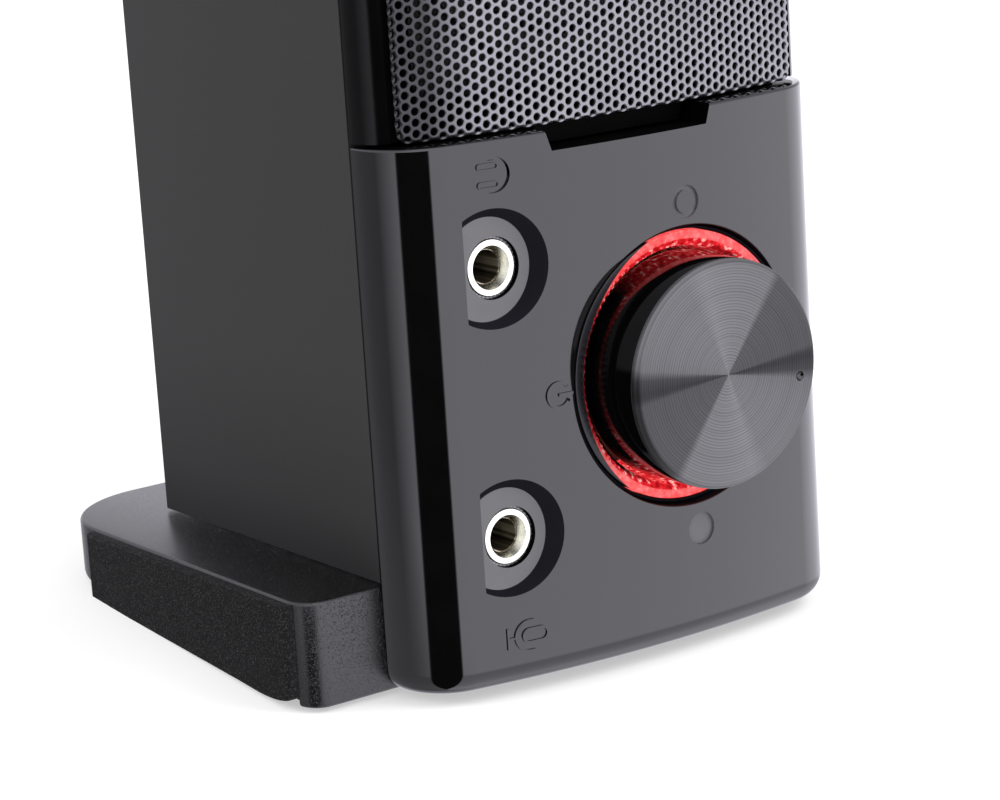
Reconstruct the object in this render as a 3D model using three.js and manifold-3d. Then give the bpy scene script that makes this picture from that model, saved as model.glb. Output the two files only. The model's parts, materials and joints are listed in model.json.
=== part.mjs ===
// Powered desktop speaker: a narrow cabinet leaning back on a wedge foot, with a bowed
// grille over the drivers and a glossy control panel below it.
// Cabinet frame: X to the right, Y to the rear, Z up along the leaning cabinet, millimetres.
import * as THREE from "three";
import { mergeVertices } from "three/addons/utils/BufferGeometryUtils.js";
import Module from "manifold-3d";

const wasm = await Module();
wasm.setup();

// ---- driving dimensions ----
const GAP = 0.3;
const LEAN_DEG = 6;
const HALF_WIDTH = 28.5;
const SEAM_Y = 10.45;
const REAR_Y = 55;
const REAR_EDGE_ROUND = 0.5;
const CABINET_TOP = 190;
const CABINET_BOTTOM = 12.1;
const WALL = 2.4;
const SCREW_POST_RADIUS = 3;
const SCREW_HOLE_RADIUS = 1.45;
const SCREW_SHANK_RADIUS = 1.15;

const BOW_RADIUS = 137.4;
const BOW_CREST_X = 3;
const BOW_STEPS = 16;
const ARC_STEPS = 6;

const PANEL_TOP = 58.6;
const PANEL_CORNER = 7.5;
const PANEL_WALL = 2.2;
const PANEL_BOTTOM_ROUND = 2.6;
const PANEL_CEILING = 54.2;
const NOTCH_FLOOR = 56.5;
const NOTCH_HALF_TOP = 11.1;
const NOTCH_HALF_FLOOR = 10.1;
const NOTCH_DEPTH = 7;
const ICON_DEPTH = 0.2;

const FRAME_BOTTOM = 59;
const FRAME_SETBACK = 2.7;
const FRAME_CORNER = 4.7;
const FRAME_TOP_ROUND = 2.4;
const MESH_LEFT = -26;
const MESH_RIGHT = 26;
const MESH_BOTTOM = 58.9;
const MESH_TOP = 187;
const MESH_CORNER = 1.5;
const MESH_PROUD = 0.35;
const MESH_THICK = 0.8;

const KNOB_X = 6.1;
const KNOB_Z = 30.8;
const KNOB_RADIUS = 12.5;
const KNOB_FACE_Y = -6.5;
const CAP_THICK = 0.9;
const KNOB_BACK_Y = 2.6;
const DOT_X = 9.9;
const DOT_Z = -2;
const DOT_RADIUS = 0.5;
const RECESS_RADIUS = 15.3;
const RING_OUTER = 14.5;
const RING_INNER = 13;
const RING_FACE_Y = 0.9;
const BEZEL_INNER = 14.75;
const BEZEL_OUTER = 15.05;
const SHAFT_RADIUS = 3;
const HUB_RADIUS = 5.4;
const CAP_STUB_RADIUS = 1.9;
const KNOB_STEPS = 48;

const JACK_X = -17.4;
const JACK_SPACING = 14.4;
const JACK_RING_RADIUS = 3;
const JACK_BORE_RADIUS = 1.85;
const JACK_FACE_Y = 2.45;
const POCKET_FLOOR_Y = 2.1;
const POCKET_FLOOR_X = -18.25;
const POCKET_FLOOR_RADIUS = 5.47;
const POCKET_RIM_X = -17.6;
const POCKET_RIM_RADIUS = 6.25;
const DISC_ICON_X = 6.7;
const DISC_ICON_Z = [48.6, 12.55];
const DISC_ICON_RADIUS = 1.8;
const DISC_PAD_RADIUS = 1.25;
const ICON_LINE = 0.34;
const ICON_RISE = 0.12;
const ICON_NEAR = -3;
const ICON_FAR = 8;
const HEADPHONE_ICON = [-17.05, 54.95];
const MICROPHONE_ICON = [-16.25, 5.5];
const POWER_ICON = [-11.05, 30.75];

const REAR_PLATE_HALF_WIDTH = 23;
const REAR_PLATE_BOTTOM = 13.4;
const REAR_PLATE_TOP = 60.6;
const REAR_SCREWS = [[-19, 16.6], [19, 16.6], [-19, 57.4], [19, 57.4]];
const POWER_INLET = [-12, 46];
const INLET_RADIUS = 3.8;
const LINE_IN = [-12, 29];
const LINE_IN_RADIUS = 3.3;
const LINK_SOCKET = { left: 4, right: 18, bottom: 30, top: 46 };

const BOARD_Y = 15;
const BOARD_THICK = 1.6;
const AMP_BOARD_Y = 38;

const BAFFLE_Y = 11.4;
const BAFFLE_THICK = 3;
const SHELF_Z = 60.5;
const DRIVER_Z = 152;
const DRIVER_FLANGE_RADIUS = 22;
const DRIVER_STEPS = 24;
const DRIVER_SCREW_HOLE = 1.35;
const ROLL_STEPS = 5;
const RADIATOR_Z = 96;
const RADIATOR_STRAIGHT = 12;

const BASE_TOP = 11.8;
const BASE_LEFT = -38.5;
const BASE_RIGHT = 28.5;
const BASE_FRONT_Y = 10.6;
const BASE_REAR_Y = 66.3;
const BASE_FRONT_ROUND = 3;
const BASE_REAR_ROUND = 12;
const BASE_WALL = 2.4;
const BASE_HOLLOW_INSET = 3.9;
const BASE_SCREWS = [[-16, 30], [16, 30]];
const BASE_RIBS_Y = [30, 44];
const FOOT_PADS = [[-31, 18.5], [21, 18.5], [-22, 60], [16, 60]];
const FOOT_PAD_RADIUS = 5;
const SIDE_PAD_PROUD = 1.1;
const SIDE_PAD_CORNER = 2.2;
const SIDE_PAD_LIP = 0.4;
const FLOOR_GAP = 0.5;
const ORIGIN_LIFT = 1.56;

// ---- small helpers ----
function finish(color, roughness, metalness) {
  return new THREE.MeshStandardMaterial({ color, roughness, metalness });
}

function signedVolume(positions, index) {
  const a = new THREE.Vector3();
  const b = new THREE.Vector3();
  const c = new THREE.Vector3();
  let total = 0;
  for (let i = 0; i < index.length; i += 3) {
    a.fromArray(positions, index[i] * 3);
    b.fromArray(positions, index[i + 1] * 3);
    c.fromArray(positions, index[i + 2] * 3);
    total += a.dot(b.cross(c));
  }
  return total / 6;
}

function solid(source) {
  const geometry = source.clone();
  geometry.deleteAttribute("normal");
  geometry.deleteAttribute("uv");
  const merged = mergeVertices(geometry, 1e-4);
  const positions = merged.attributes.position.array;
  const index = Uint32Array.from(merged.index.array);
  if (signedVolume(positions, index) < 0) {
    for (let i = 0; i < index.length; i += 3) {
      [index[i], index[i + 1]] = [index[i + 1], index[i]];
    }
  }
  const mesh = new wasm.Mesh({
    numProp: 3,
    vertProperties: Float32Array.from(positions),
    triVerts: index,
  });
  mesh.merge();
  return new wasm.Manifold(mesh);
}

function part(name, body, material) {
  const mesh = body.getMesh();
  const positions = Float32Array.from(mesh.vertProperties);
  const geometry = new THREE.BufferGeometry();
  geometry.setAttribute("position", new THREE.BufferAttribute(positions, 3));
  geometry.setIndex(new THREE.BufferAttribute(Uint32Array.from(mesh.triVerts), 1));
  geometry.computeVertexNormals();
  const node = new THREE.Mesh(geometry, material);
  node.name = name;
  return node;
}

function box(x0, x1, y0, y1, z0, z1) {
  const geometry = new THREE.BoxGeometry(x1 - x0, y1 - y0, z1 - z0);
  geometry.translate((x0 + x1) / 2, (y0 + y1) / 2, (z0 + z1) / 2);
  return solid(geometry);
}

// Cylinder along Y between y0 and y1.
function rod(x, z, radius, y0, y1, steps = 20) {
  const geometry = new THREE.CylinderGeometry(radius, radius, y1 - y0, steps);
  geometry.translate(x, (y0 + y1) / 2, z);
  return solid(geometry);
}

// Solid of revolution about the Y axis through (x, z); profile is a closed loop of [radius, y].
function turned(profile, x, z, steps = 32) {
  const loop = [...profile, profile[0]].map(([radius, y]) => new THREE.Vector2(radius, y));
  const geometry = new THREE.LatheGeometry(loop, steps);
  geometry.translate(x, 0, z);
  return solid(geometry);
}

// Flat outline in (x, z) pushed along Y from y0 to y1.
function slab(outline, y0, y1) {
  const settings = { depth: y1 - y0, bevelEnabled: false, curveSegments: 5 };
  const geometry = new THREE.ExtrudeGeometry(outline, settings);
  geometry.rotateX(Math.PI / 2);
  geometry.translate(0, y1, 0);
  return solid(geometry);
}

function roundedRect(x0, x1, z0, z1, radius) {
  const shape = new THREE.Shape();
  shape.moveTo(x0 + radius, z0);
  shape.lineTo(x1 - radius, z0);
  shape.absarc(x1 - radius, z0 + radius, radius, -Math.PI / 2, 0);
  shape.lineTo(x1, z1 - radius);
  shape.absarc(x1 - radius, z1 - radius, radius, 0, Math.PI / 2);
  shape.lineTo(x0 + radius, z1);
  shape.absarc(x0 + radius, z1 - radius, radius, Math.PI / 2, Math.PI);
  shape.lineTo(x0, z0 + radius);
  shape.absarc(x0 + radius, z0 + radius, radius, Math.PI, Math.PI * 1.5);
  return shape;
}

function polygon(points) {
  return new THREE.Shape(points.map(([x, y]) => new THREE.Vector2(x, y)));
}

// Solid through a stack of equal-length (x, y) outlines, each at its own height z.
function stacked(layers) {
  const count = layers[0].points.length;
  const positions = layers.flatMap(({ z, points }) => points.flatMap(([x, y]) => [x, y, z]));
  const index = [];
  for (let k = 0; k + 1 < layers.length; k += 1) {
    for (let i = 0; i < count; i += 1) {
      const j = (i + 1) % count;
      const low = k * count;
      const high = low + count;
      index.push(low + i, low + j, high + j, low + i, high + j, high + i);
    }
  }
  const flat = layers[0].points.map(([x, y]) => new THREE.Vector2(x, y));
  const last = (layers.length - 1) * count;
  for (const [a, b, c] of THREE.ShapeUtils.triangulateShape(flat, [])) {
    index.push(a, c, b, last + a, last + b, last + c);
  }
  const geometry = new THREE.BufferGeometry();
  geometry.setAttribute("position", new THREE.Float32BufferAttribute(positions, 3));
  geometry.setIndex(index);
  return solid(geometry);
}

// Ring swept around a racetrack: closed profile of [radius, y], straight half length along Z.
function racetrack(profile, z, straight, steps = 14) {
  const stations = [];
  for (let i = 0; i <= steps; i += 1) {
    stations.push([(i / steps) * Math.PI, straight]);
  }
  for (let i = 0; i <= steps; i += 1) {
    stations.push([Math.PI + (i / steps) * Math.PI, -straight]);
  }
  const count = profile.length;
  const positions = [];
  for (const [angle, shift] of stations) {
    for (const [radius, y] of profile) {
      positions.push(radius * Math.cos(angle), y, z + shift + radius * Math.sin(angle));
    }
  }
  const index = [];
  for (let s = 0; s < stations.length; s += 1) {
    const here = s * count;
    const next = ((s + 1) % stations.length) * count;
    for (let i = 0; i < count; i += 1) {
      const j = (i + 1) % count;
      index.push(here + i, here + j, next + j, here + i, next + j, next + i);
    }
  }
  const geometry = new THREE.BufferGeometry();
  geometry.setAttribute("position", new THREE.Float32BufferAttribute(positions, 3));
  geometry.setIndex(index);
  return solid(geometry);
}

function stadium(halfWidth, z, straight) {
  const reach = straight + halfWidth;
  return roundedRect(-halfWidth, halfWidth, z - reach, z + reach, halfWidth - 0.01);
}

// ---- bowed front section shared by the grille frame and the control panel ----
function frontOutline(setback, corner, inset, backY) {
  const side = HALF_WIDTH - inset;
  const bow = BOW_RADIUS - inset;
  const arc = corner - inset;
  const centreX = HALF_WIDTH - corner;
  const bowCentreY = setback + BOW_RADIUS;
  const cornerY = (x) => bowCentreY - Math.sqrt((BOW_RADIUS - corner) ** 2 - (x - BOW_CREST_X) ** 2);
  const leftY = cornerY(-centreX);
  const rightY = cornerY(centreX);
  const leftAngle = Math.atan2(leftY - bowCentreY, -centreX - BOW_CREST_X);
  const rightAngle = Math.atan2(rightY - bowCentreY, centreX - BOW_CREST_X);
  const points = [[-side, backY]];
  for (let i = 0; i < ARC_STEPS; i += 1) {
    const t = -Math.PI + ((leftAngle + Math.PI) * i) / ARC_STEPS;
    points.push([-centreX + arc * Math.cos(t), leftY + arc * Math.sin(t)]);
  }
  for (let i = 0; i < BOW_STEPS; i += 1) {
    const t = leftAngle + ((rightAngle - leftAngle) * i) / BOW_STEPS;
    points.push([BOW_CREST_X + bow * Math.cos(t), bowCentreY + bow * Math.sin(t)]);
  }
  for (let i = 0; i <= ARC_STEPS; i += 1) {
    const t = rightAngle + ((0 - rightAngle) * i) / ARC_STEPS;
    points.push([centreX + arc * Math.cos(t), rightY + arc * Math.sin(t)]);
  }
  points.push([side, backY]);
  return points;
}

function frontSolid(setback, corner, inset, backY, z0, z1, roundLow, roundHigh) {
  const outline = (extra) => frontOutline(setback, corner, inset + extra, backY);
  const layers = [];
  const steps = 4;
  for (let i = 0; i <= steps && roundLow > 0; i += 1) {
    const t = ((i / steps) * Math.PI) / 2;
    const points = outline(roundLow * (1 - Math.sin(t)));
    layers.push({ z: z0 + roundLow * (1 - Math.cos(t)), points });
  }
  if (roundLow === 0) {
    layers.push({ z: z0, points: outline(0) });
  }
  for (let i = 0; i <= steps && roundHigh > 0; i += 1) {
    const t = ((i / steps) * Math.PI) / 2;
    const points = outline(roundHigh * (1 - Math.cos(t)));
    layers.push({ z: z1 - roundHigh * (1 - Math.sin(t)), points });
  }
  if (roundHigh === 0) {
    layers.push({ z: z1, points: outline(0) });
  }
  return stacked(layers);
}

// Layer of a bowed front between two depths measured inward from its surface.
function frontSkin(setback, corner, outer, inner, z0, z1) {
  const near = frontSolid(setback, corner, outer, SEAM_Y + 1, z0, z1, 0, 0);
  const far = frontSolid(setback, corner, inner, SEAM_Y + 2, z0 - 1, z1 + 1, 0, 0);
  return near.subtract(far);
}

// ---- materials ----
const satinBlack = finish(0x2a2a2b, 0.55, 0);
const glossBlack = finish(0x101012, 0.12, 0);
const meshSteel = finish(0x2b2b2d, 0.35, 0.8);
const grainBlack = finish(0x1d1d1f, 0.5, 0);
const padRubber = finish(0x2c2c2e, 0.9, 0);
const spunAluminium = finish(0x74747a, 0.3, 1);
const nickel = finish(0xb9b9bd, 0.22, 1);
const redLens = finish(0xe63535, 0.3, 0);
const boardGreen = finish(0x1f5a3a, 0.6, 0);
const steel = finish(0x8b8d92, 0.35, 1);
const ferrite = finish(0x2b2a2c, 0.8, 0);
const paperCone = finish(0x1b1b1c, 0.85, 0);
const rubberRoll = finish(0x161617, 0.7, 0);
const amberCloth = finish(0xa5752f, 0.85, 0);
const copper = finish(0xb4703a, 0.4, 1);
const sleeveBlue = finish(0x1d2c55, 0.4, 0);
const chipBlack = finish(0x18181a, 0.6, 0);
const finAluminium = finish(0xa9abae, 0.45, 1);
const ledWhite = finish(0xf2d9d4, 0.4, 0);

// ---- cabinet ----
function cabinetShell() {
  const outer = stackedBox(SEAM_Y + GAP / 2, REAR_Y, CABINET_BOTTOM, CABINET_TOP);
  const half = HALF_WIDTH - WALL;
  const rearWallY = REAR_Y - WALL;
  const inner = box(-half, half, SEAM_Y - 1, rearWallY, CABINET_BOTTOM + WALL, CABINET_TOP - WALL);
  const window = slab(roundedRect(-21, 21, 19, 55, 2), rearWallY - 1, REAR_Y + 1);
  const floor = CABINET_BOTTOM;
  const jackRelief = box(JACK_X - 5, JACK_X + 5, SEAM_Y - 1, BOARD_Y + 2, floor + 0.8, floor + 4);
  let body = outer.subtract(inner).subtract(window).subtract(jackRelief);
  for (const [x, z] of REAR_SCREWS) {
    body = body.add(rod(x, z, SCREW_POST_RADIUS, rearWallY - 4.5, rearWallY + 0.1));
    body = body.subtract(rod(x, z, SCREW_HOLE_RADIUS, rearWallY - 4.4, REAR_Y + 1));
  }
  for (const [x, y] of BASE_SCREWS) {
    body = body.add(upright(x, y, SCREW_POST_RADIUS + 0.4, floor, floor + 8, 20));
    body = body.subtract(upright(x, y, SCREW_HOLE_RADIUS, floor - 1, floor + 7.6, 20));
  }
  return body;
}

// Upright box with rounded rear edges and softened top rim.
function stackedBox(y0, y1, z0, z1) {
  const half = HALF_WIDTH;
  const radius = REAR_EDGE_ROUND;
  const outline = (inset) => {
    const arc = radius - inset;
    const points = [[-half + inset, y0], [half - inset, y0]];
    for (const [side, start] of [[1, 0], [-1, Math.PI / 2]]) {
      for (let i = 0; i <= 4; i += 1) {
        const t = start + ((i / 4) * Math.PI) / 2;
        points.push([side * (half - radius) + arc * Math.cos(t), y1 - radius + arc * Math.sin(t)]);
      }
    }
    return points;
  };
  const rim = 0.4;
  return stacked([
    { z: z0, points: outline(0) },
    { z: z1 - rim, points: outline(0) },
    { z: z1, points: outline(rim) },
  ]);
}

// Cylinder along Z.
function upright(x, y, radius, z0, z1, steps = 24) {
  const geometry = new THREE.CylinderGeometry(radius, radius, z1 - z0, steps);
  geometry.rotateX(Math.PI / 2);
  geometry.translate(x, y, (z0 + z1) / 2);
  return solid(geometry);
}

function rearPlate() {
  const half = REAR_PLATE_HALF_WIDTH;
  const face = roundedRect(-half, half, REAR_PLATE_BOTTOM, REAR_PLATE_TOP, 2.5);
  let plate = slab(face, REAR_Y + 0.2, REAR_Y + 1.6);
  plate = plate.add(slab(roundedRect(-20.7, 20.7, 19.3, 54.7, 1.7), REAR_Y - 1.4, REAR_Y - 0.1));
  plate = plate.add(slab(roundedRect(-20.2, 20.2, 19.8, 54.2, 1.7), REAR_Y - 0.5, REAR_Y + 0.5));
  const near = REAR_Y - 3;
  const far = REAR_Y + 3;
  for (const [x, z] of REAR_SCREWS) {
    plate = plate.subtract(rod(x, z, SCREW_HOLE_RADIUS + 0.05, near, far));
  }
  plate = plate.subtract(rod(POWER_INLET[0], POWER_INLET[1], INLET_RADIUS + GAP, near, far));
  plate = plate.subtract(rod(LINE_IN[0], LINE_IN[1], LINE_IN_RADIUS + GAP, near, far));
  const { left, right, bottom, top } = LINK_SOCKET;
  const mouth = roundedRect(left - GAP, right + GAP, bottom - GAP, top + GAP, 0.6);
  return plate.subtract(slab(mouth, near, far));
}

function screw(x, z, headY, headRadius, length, direction) {
  const between = (a, b) => [Math.min(a, b), Math.max(a, b)];
  const tip = headY + direction * length;
  const neck = headY + direction * 1.3;
  const [headLow, headHigh] = between(headY, neck);
  const [shankLow, shankHigh] = between(tip, neck);
  const [slotLow, slotHigh] = between(headY - direction * 0.2, headY + direction * 0.7);
  const head = rod(x, z, headRadius, headLow, headHigh, 14);
  const shank = rod(x, z, SCREW_SHANK_RADIUS, shankLow, shankHigh, 10);
  const arm = 1.2;
  const thin = 0.22;
  const across = box(x - arm, x + arm, slotLow, slotHigh, z - thin, z + thin);
  const down = box(x - thin, x + thin, slotLow, slotHigh, z - arm, z + arm);
  return head.add(shank).subtract(across).subtract(down);
}

// ---- grille ----
function grilleFrame() {
  const solidFrame = frontSolid(FRAME_SETBACK, FRAME_CORNER, 0, SEAM_Y - GAP / 2,
    FRAME_BOTTOM, CABINET_TOP, 0, FRAME_TOP_ROUND);
  const hollow = frontSolid(FRAME_SETBACK, FRAME_CORNER, WALL, SEAM_Y + 2,
    FRAME_BOTTOM + 3, CABINET_TOP - 3.4, 0, 0);
  const seat = roundedRect(MESH_LEFT - GAP, MESH_RIGHT + GAP, MESH_BOTTOM - 5, MESH_TOP + GAP, MESH_CORNER);
  const skin = frontSkin(FRAME_SETBACK, FRAME_CORNER, -1, 0.8, FRAME_BOTTOM - 1, CABINET_TOP + 1);
  const window = roundedRect(-23.2, 23.2, FRAME_BOTTOM + 3, CABINET_TOP - 5.5, 3);
  const tongue = slab(polygon([
    [-NOTCH_HALF_FLOOR + 0.6, NOTCH_FLOOR + GAP],
    [NOTCH_HALF_FLOOR - 0.6, NOTCH_FLOOR + GAP],
    [NOTCH_HALF_FLOOR - 0.2, FRAME_BOTTOM + 0.5],
    [-NOTCH_HALF_FLOOR + 0.2, FRAME_BOTTOM + 0.5],
  ]), FRAME_SETBACK + 1.2, FRAME_SETBACK + 3.4);
  return solidFrame
    .subtract(hollow)
    .subtract(slab(seat, -5, SEAM_Y).intersect(skin))
    .subtract(slab(window, -5, SEAM_Y))
    .add(tongue);
}

function grilleMesh() {
  const bent = frontSkin(FRAME_SETBACK, FRAME_CORNER, -MESH_PROUD, MESH_THICK - MESH_PROUD,
    MESH_BOTTOM - 1, MESH_TOP + 1);
  const outline = roundedRect(MESH_LEFT, MESH_RIGHT, MESH_BOTTOM, MESH_TOP, MESH_CORNER);
  return bent.intersect(slab(outline, -5, 7));
}

// ---- control panel ----
function jackHeights() {
  return [KNOB_Z + JACK_SPACING, KNOB_Z - JACK_SPACING];
}

function jackPocket(z) {
  const circle = (centreX, radius) => {
    const points = [];
    for (let i = 0; i < 32; i += 1) {
      const t = (i / 32) * Math.PI * 2;
      points.push([centreX + radius * Math.cos(t), -z + radius * Math.sin(t)]);
    }
    return points;
  };
  const surfaceY = 0.75;
  return stacked([
    { z: -4, points: circle(POCKET_RIM_X, POCKET_RIM_RADIUS) },
    { z: surfaceY, points: circle(POCKET_RIM_X, POCKET_RIM_RADIUS) },
    { z: POCKET_FLOOR_Y, points: circle(POCKET_FLOOR_X, POCKET_FLOOR_RADIUS) },
  ]).rotate([-90, 0, 0]);
}

// Half ring open to one side, with a straight tail on each end: side -1 opens left, 1 right.
function cup(x, z, radius, tail, side) {
  const outer = radius + ICON_LINE / 2;
  const inner = radius - ICON_LINE / 2;
  const end = x + side * tail;
  const up = Math.PI / 2;
  const shape = new THREE.Shape();
  shape.moveTo(end, z - outer);
  shape.lineTo(x, z - outer);
  shape.absarc(x, z, outer, -up, up, side > 0);
  shape.lineTo(end, z + outer);
  shape.lineTo(end, z + inner);
  shape.lineTo(x, z + inner);
  shape.absarc(x, z, inner, up, -up, side < 0);
  shape.lineTo(end, z - inner);
  return slab(shape, ICON_NEAR, ICON_FAR);
}

function bar(x0, x1, z0, z1) {
  return box(x0, x1, ICON_NEAR, ICON_FAR, z0, z1);
}

function headphoneIcon([x, z]) {
  const ears = [-1, 1].map((side) => {
    const middle = z + side * 0.95;
    return slab(roundedRect(x - 1.85, x + 0.4, middle - 0.32, middle + 0.32, 0.3), ICON_NEAR, ICON_FAR);
  });
  return [cup(x, z, 1.65, 0.6, -1), ...ears];
}

function microphoneIcon([x, z]) {
  const half = ICON_LINE / 2;
  const capsule = slab(roundedRect(x - 0.8, x + 2.2, z - 0.77, z + 0.77, 0.76), ICON_NEAR, ICON_FAR);
  const core = slab(roundedRect(x - 0.5, x + 1.9, z - 0.47, z + 0.47, 0.46), ICON_NEAR - 1, ICON_FAR + 1);
  return [
    bar(x - 2.6 - half, x - 2.6 + half, z - 1.15, z + 1.15),
    bar(x - 2.6, x - 1.6, z - half, z + half),
    cup(x, z, 1.6, 0.65, 1),
    capsule.subtract(core),
  ];
}

function powerIcon([x, z]) {
  const gapAngle = 0.55;
  const radius = 1.35;
  const half = ICON_LINE / 2;
  const shape = new THREE.Shape();
  shape.absarc(x, z, radius + half, gapAngle, Math.PI * 2 - gapAngle, false);
  shape.absarc(x, z, radius - half, Math.PI * 2 - gapAngle, gapAngle, true);
  return [slab(shape, ICON_NEAR, ICON_FAR), bar(x, x + 2.1, z - half, z + half)];
}

function discIcons() {
  const discs = DISC_ICON_Z.map((z) => rod(DISC_ICON_X, z, DISC_ICON_RADIUS, ICON_NEAR, ICON_FAR, 40));
  const pad = rod(DISC_ICON_X, DISC_ICON_Z[0], DISC_PAD_RADIUS, ICON_NEAR - 1, ICON_FAR + 1, 32);
  return [discs[0].subtract(pad), discs[1]];
}

function controlPanel() {
  const hollow = frontSolid(0, PANEL_CORNER, PANEL_WALL, SEAM_Y + 2, PANEL_BOTTOM_ROUND, PANEL_CEILING, 0, 0);
  const whole = frontSolid(0, PANEL_CORNER, 0, SEAM_Y, 0, PANEL_TOP, 0, 0);
  let body = frontSolid(0, PANEL_CORNER, 0, SEAM_Y - GAP / 2, 0, PANEL_TOP, PANEL_BOTTOM_ROUND, 0.4);
  body = body.subtract(hollow);
  for (const z of jackHeights()) {
    const boss = slab(roundedRect(JACK_X - 7, JACK_X + 7, z - 7, z + 7, 3), POCKET_FLOOR_Y, 5);
    body = body.add(boss.intersect(whole));
    body = body.subtract(jackPocket(z));
    body = body.subtract(rod(JACK_X, z, JACK_RING_RADIUS + GAP, -2, 8, 28));
  }
  const notch = polygon([
    [-NOTCH_HALF_FLOOR, NOTCH_FLOOR],
    [NOTCH_HALF_FLOOR, NOTCH_FLOOR],
    [NOTCH_HALF_TOP, PANEL_TOP + 1],
    [-NOTCH_HALF_TOP, PANEL_TOP + 1],
  ]);
  body = body.subtract(slab(notch, -3, NOTCH_DEPTH));
  const sunk = frontSkin(0, PANEL_CORNER, -1, ICON_DEPTH, 1, PANEL_TOP + 2);
  const raised = frontSkin(0, PANEL_CORNER, -ICON_RISE, ICON_DEPTH, 1, PANEL_TOP + 2);
  for (const icon of discIcons()) {
    body = body.subtract(icon.intersect(sunk));
  }
  const lines = [
    ...headphoneIcon(HEADPHONE_ICON),
    ...microphoneIcon(MICROPHONE_ICON),
    ...powerIcon(POWER_ICON),
  ];
  for (const line of lines) {
    body = body.add(line.intersect(raised));
  }
  return body.subtract(rod(KNOB_X, KNOB_Z, RECESS_RADIUS, -3, 9, KNOB_STEPS));
}

function recessBezel() {
  const flange = 16.6;
  return turned([
    [BEZEL_OUTER, 1],
    [BEZEL_OUTER, 4],
    [flange, 4],
    [flange, 5.2],
    [BEZEL_INNER, 5.2],
    [BEZEL_INNER, 1],
  ], KNOB_X, KNOB_Z, KNOB_STEPS);
}

function lightRing() {
  return turned([
    [RING_OUTER, RING_FACE_Y + 0.1],
    [RING_OUTER, 13.6],
    [RING_INNER, 13.6],
    [RING_INNER, RING_FACE_Y + 1.4],
    [RING_INNER + 0.35, RING_FACE_Y + 0.5],
    [RING_INNER + 0.6, RING_FACE_Y],
    [RING_OUTER - 0.1, RING_FACE_Y],
  ], KNOB_X, KNOB_Z, KNOB_STEPS);
}

function knobBody() {
  const front = KNOB_FACE_Y + CAP_THICK + 0.05;
  const skirt = KNOB_RADIUS - 1.8;
  const bore = SHAFT_RADIUS + 0.25;
  return turned([
    [CAP_STUB_RADIUS + 0.2, front],
    [KNOB_RADIUS - 0.1, front],
    [KNOB_RADIUS, front + 0.1],
    [KNOB_RADIUS, KNOB_BACK_Y],
    [skirt, KNOB_BACK_Y],
    [skirt, front + 2],
    [HUB_RADIUS, front + 2],
    [HUB_RADIUS, KNOB_BACK_Y],
    [bore, KNOB_BACK_Y],
    [bore, front + 2.4],
    [CAP_STUB_RADIUS + 0.2, front + 2.4],
  ], KNOB_X, KNOB_Z, KNOB_STEPS);
}

function knobCap() {
  const face = KNOB_FACE_Y;
  const back = face + CAP_THICK - 0.05;
  const rim = KNOB_RADIUS - 0.04;
  const cap = turned([
    [0, face],
    [rim - 0.45, face],
    [rim, face + 0.45],
    [rim, back],
    [CAP_STUB_RADIUS, back],
    [CAP_STUB_RADIUS, face + 2.6],
    [0, face + 2.6],
  ], KNOB_X, KNOB_Z, KNOB_STEPS);
  const ball = 0.7;
  const dimple = new THREE.SphereGeometry(ball, 24, 14);
  const sink = Math.sqrt(ball ** 2 - DOT_RADIUS ** 2);
  dimple.translate(KNOB_X + DOT_X, face - sink, KNOB_Z + DOT_Z);
  return cap.subtract(solid(dimple));
}

function potShaft() {
  const shaft = rod(KNOB_X, KNOB_Z, SHAFT_RADIUS, KNOB_FACE_Y + 4, 10.2, 32);
  const flat = box(KNOB_X - 4, KNOB_X + 4, KNOB_FACE_Y + 3, 4.5, KNOB_Z + 1.9, KNOB_Z + 4);
  return shaft.subtract(flat);
}

function potBody() {
  let body = slab(roundedRect(KNOB_X - 8, KNOB_X + 8, KNOB_Z - 8, KNOB_Z + 8, 2.5), 7.4, BOARD_Y - GAP);
  body = body.add(rod(KNOB_X, KNOB_Z, 4.6, 5, 7.6, 32));
  return body.subtract(rod(KNOB_X, KNOB_Z, SHAFT_RADIUS + 0.25, 4, 10.5, 32));
}

function bushing(z) {
  return turned([
    [JACK_BORE_RADIUS + 0.45, JACK_FACE_Y],
    [JACK_RING_RADIUS - 0.15, JACK_FACE_Y],
    [JACK_RING_RADIUS, JACK_FACE_Y + 0.15],
    [JACK_RING_RADIUS, 5.4],
    [JACK_BORE_RADIUS, 5.4],
    [JACK_BORE_RADIUS, JACK_FACE_Y + 0.9],
  ], JACK_X, z, 28);
}

function jackBody(z) {
  const body = slab(roundedRect(JACK_X - 4.5, JACK_X + 4.5, z - 3, z + 3, 0.4), 5.7, BOARD_Y - GAP);
  return body.subtract(rod(JACK_X, z, JACK_BORE_RADIUS - 0.05, 4, 13.5, 28));
}

function controlBoard() {
  let board = box(-25, 25, BOARD_Y, BOARD_Y + BOARD_THICK, 16, 58);
  board = board.subtract(rod(0, 20.5, 1.4, 10, 20, 16));
  return board.subtract(rod(20.5, 50, 1.4, 10, 20, 16));
}

function ringLed(index) {
  const angle = ((index + 0.5) / 4) * Math.PI * 2;
  const radius = (RING_OUTER + RING_INNER) / 2;
  const x = KNOB_X + radius * Math.cos(angle);
  const z = KNOB_Z + radius * Math.sin(angle);
  return box(x - 1.1, x + 1.1, BOARD_Y - 1.1, BOARD_Y - 0.05, z - 1.1, z + 1.1);
}

// ---- rear electronics ----
function ampBoard() {
  return box(-22, 22, AMP_BOARD_Y, AMP_BOARD_Y + BOARD_THICK, 18, 56);
}

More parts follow.
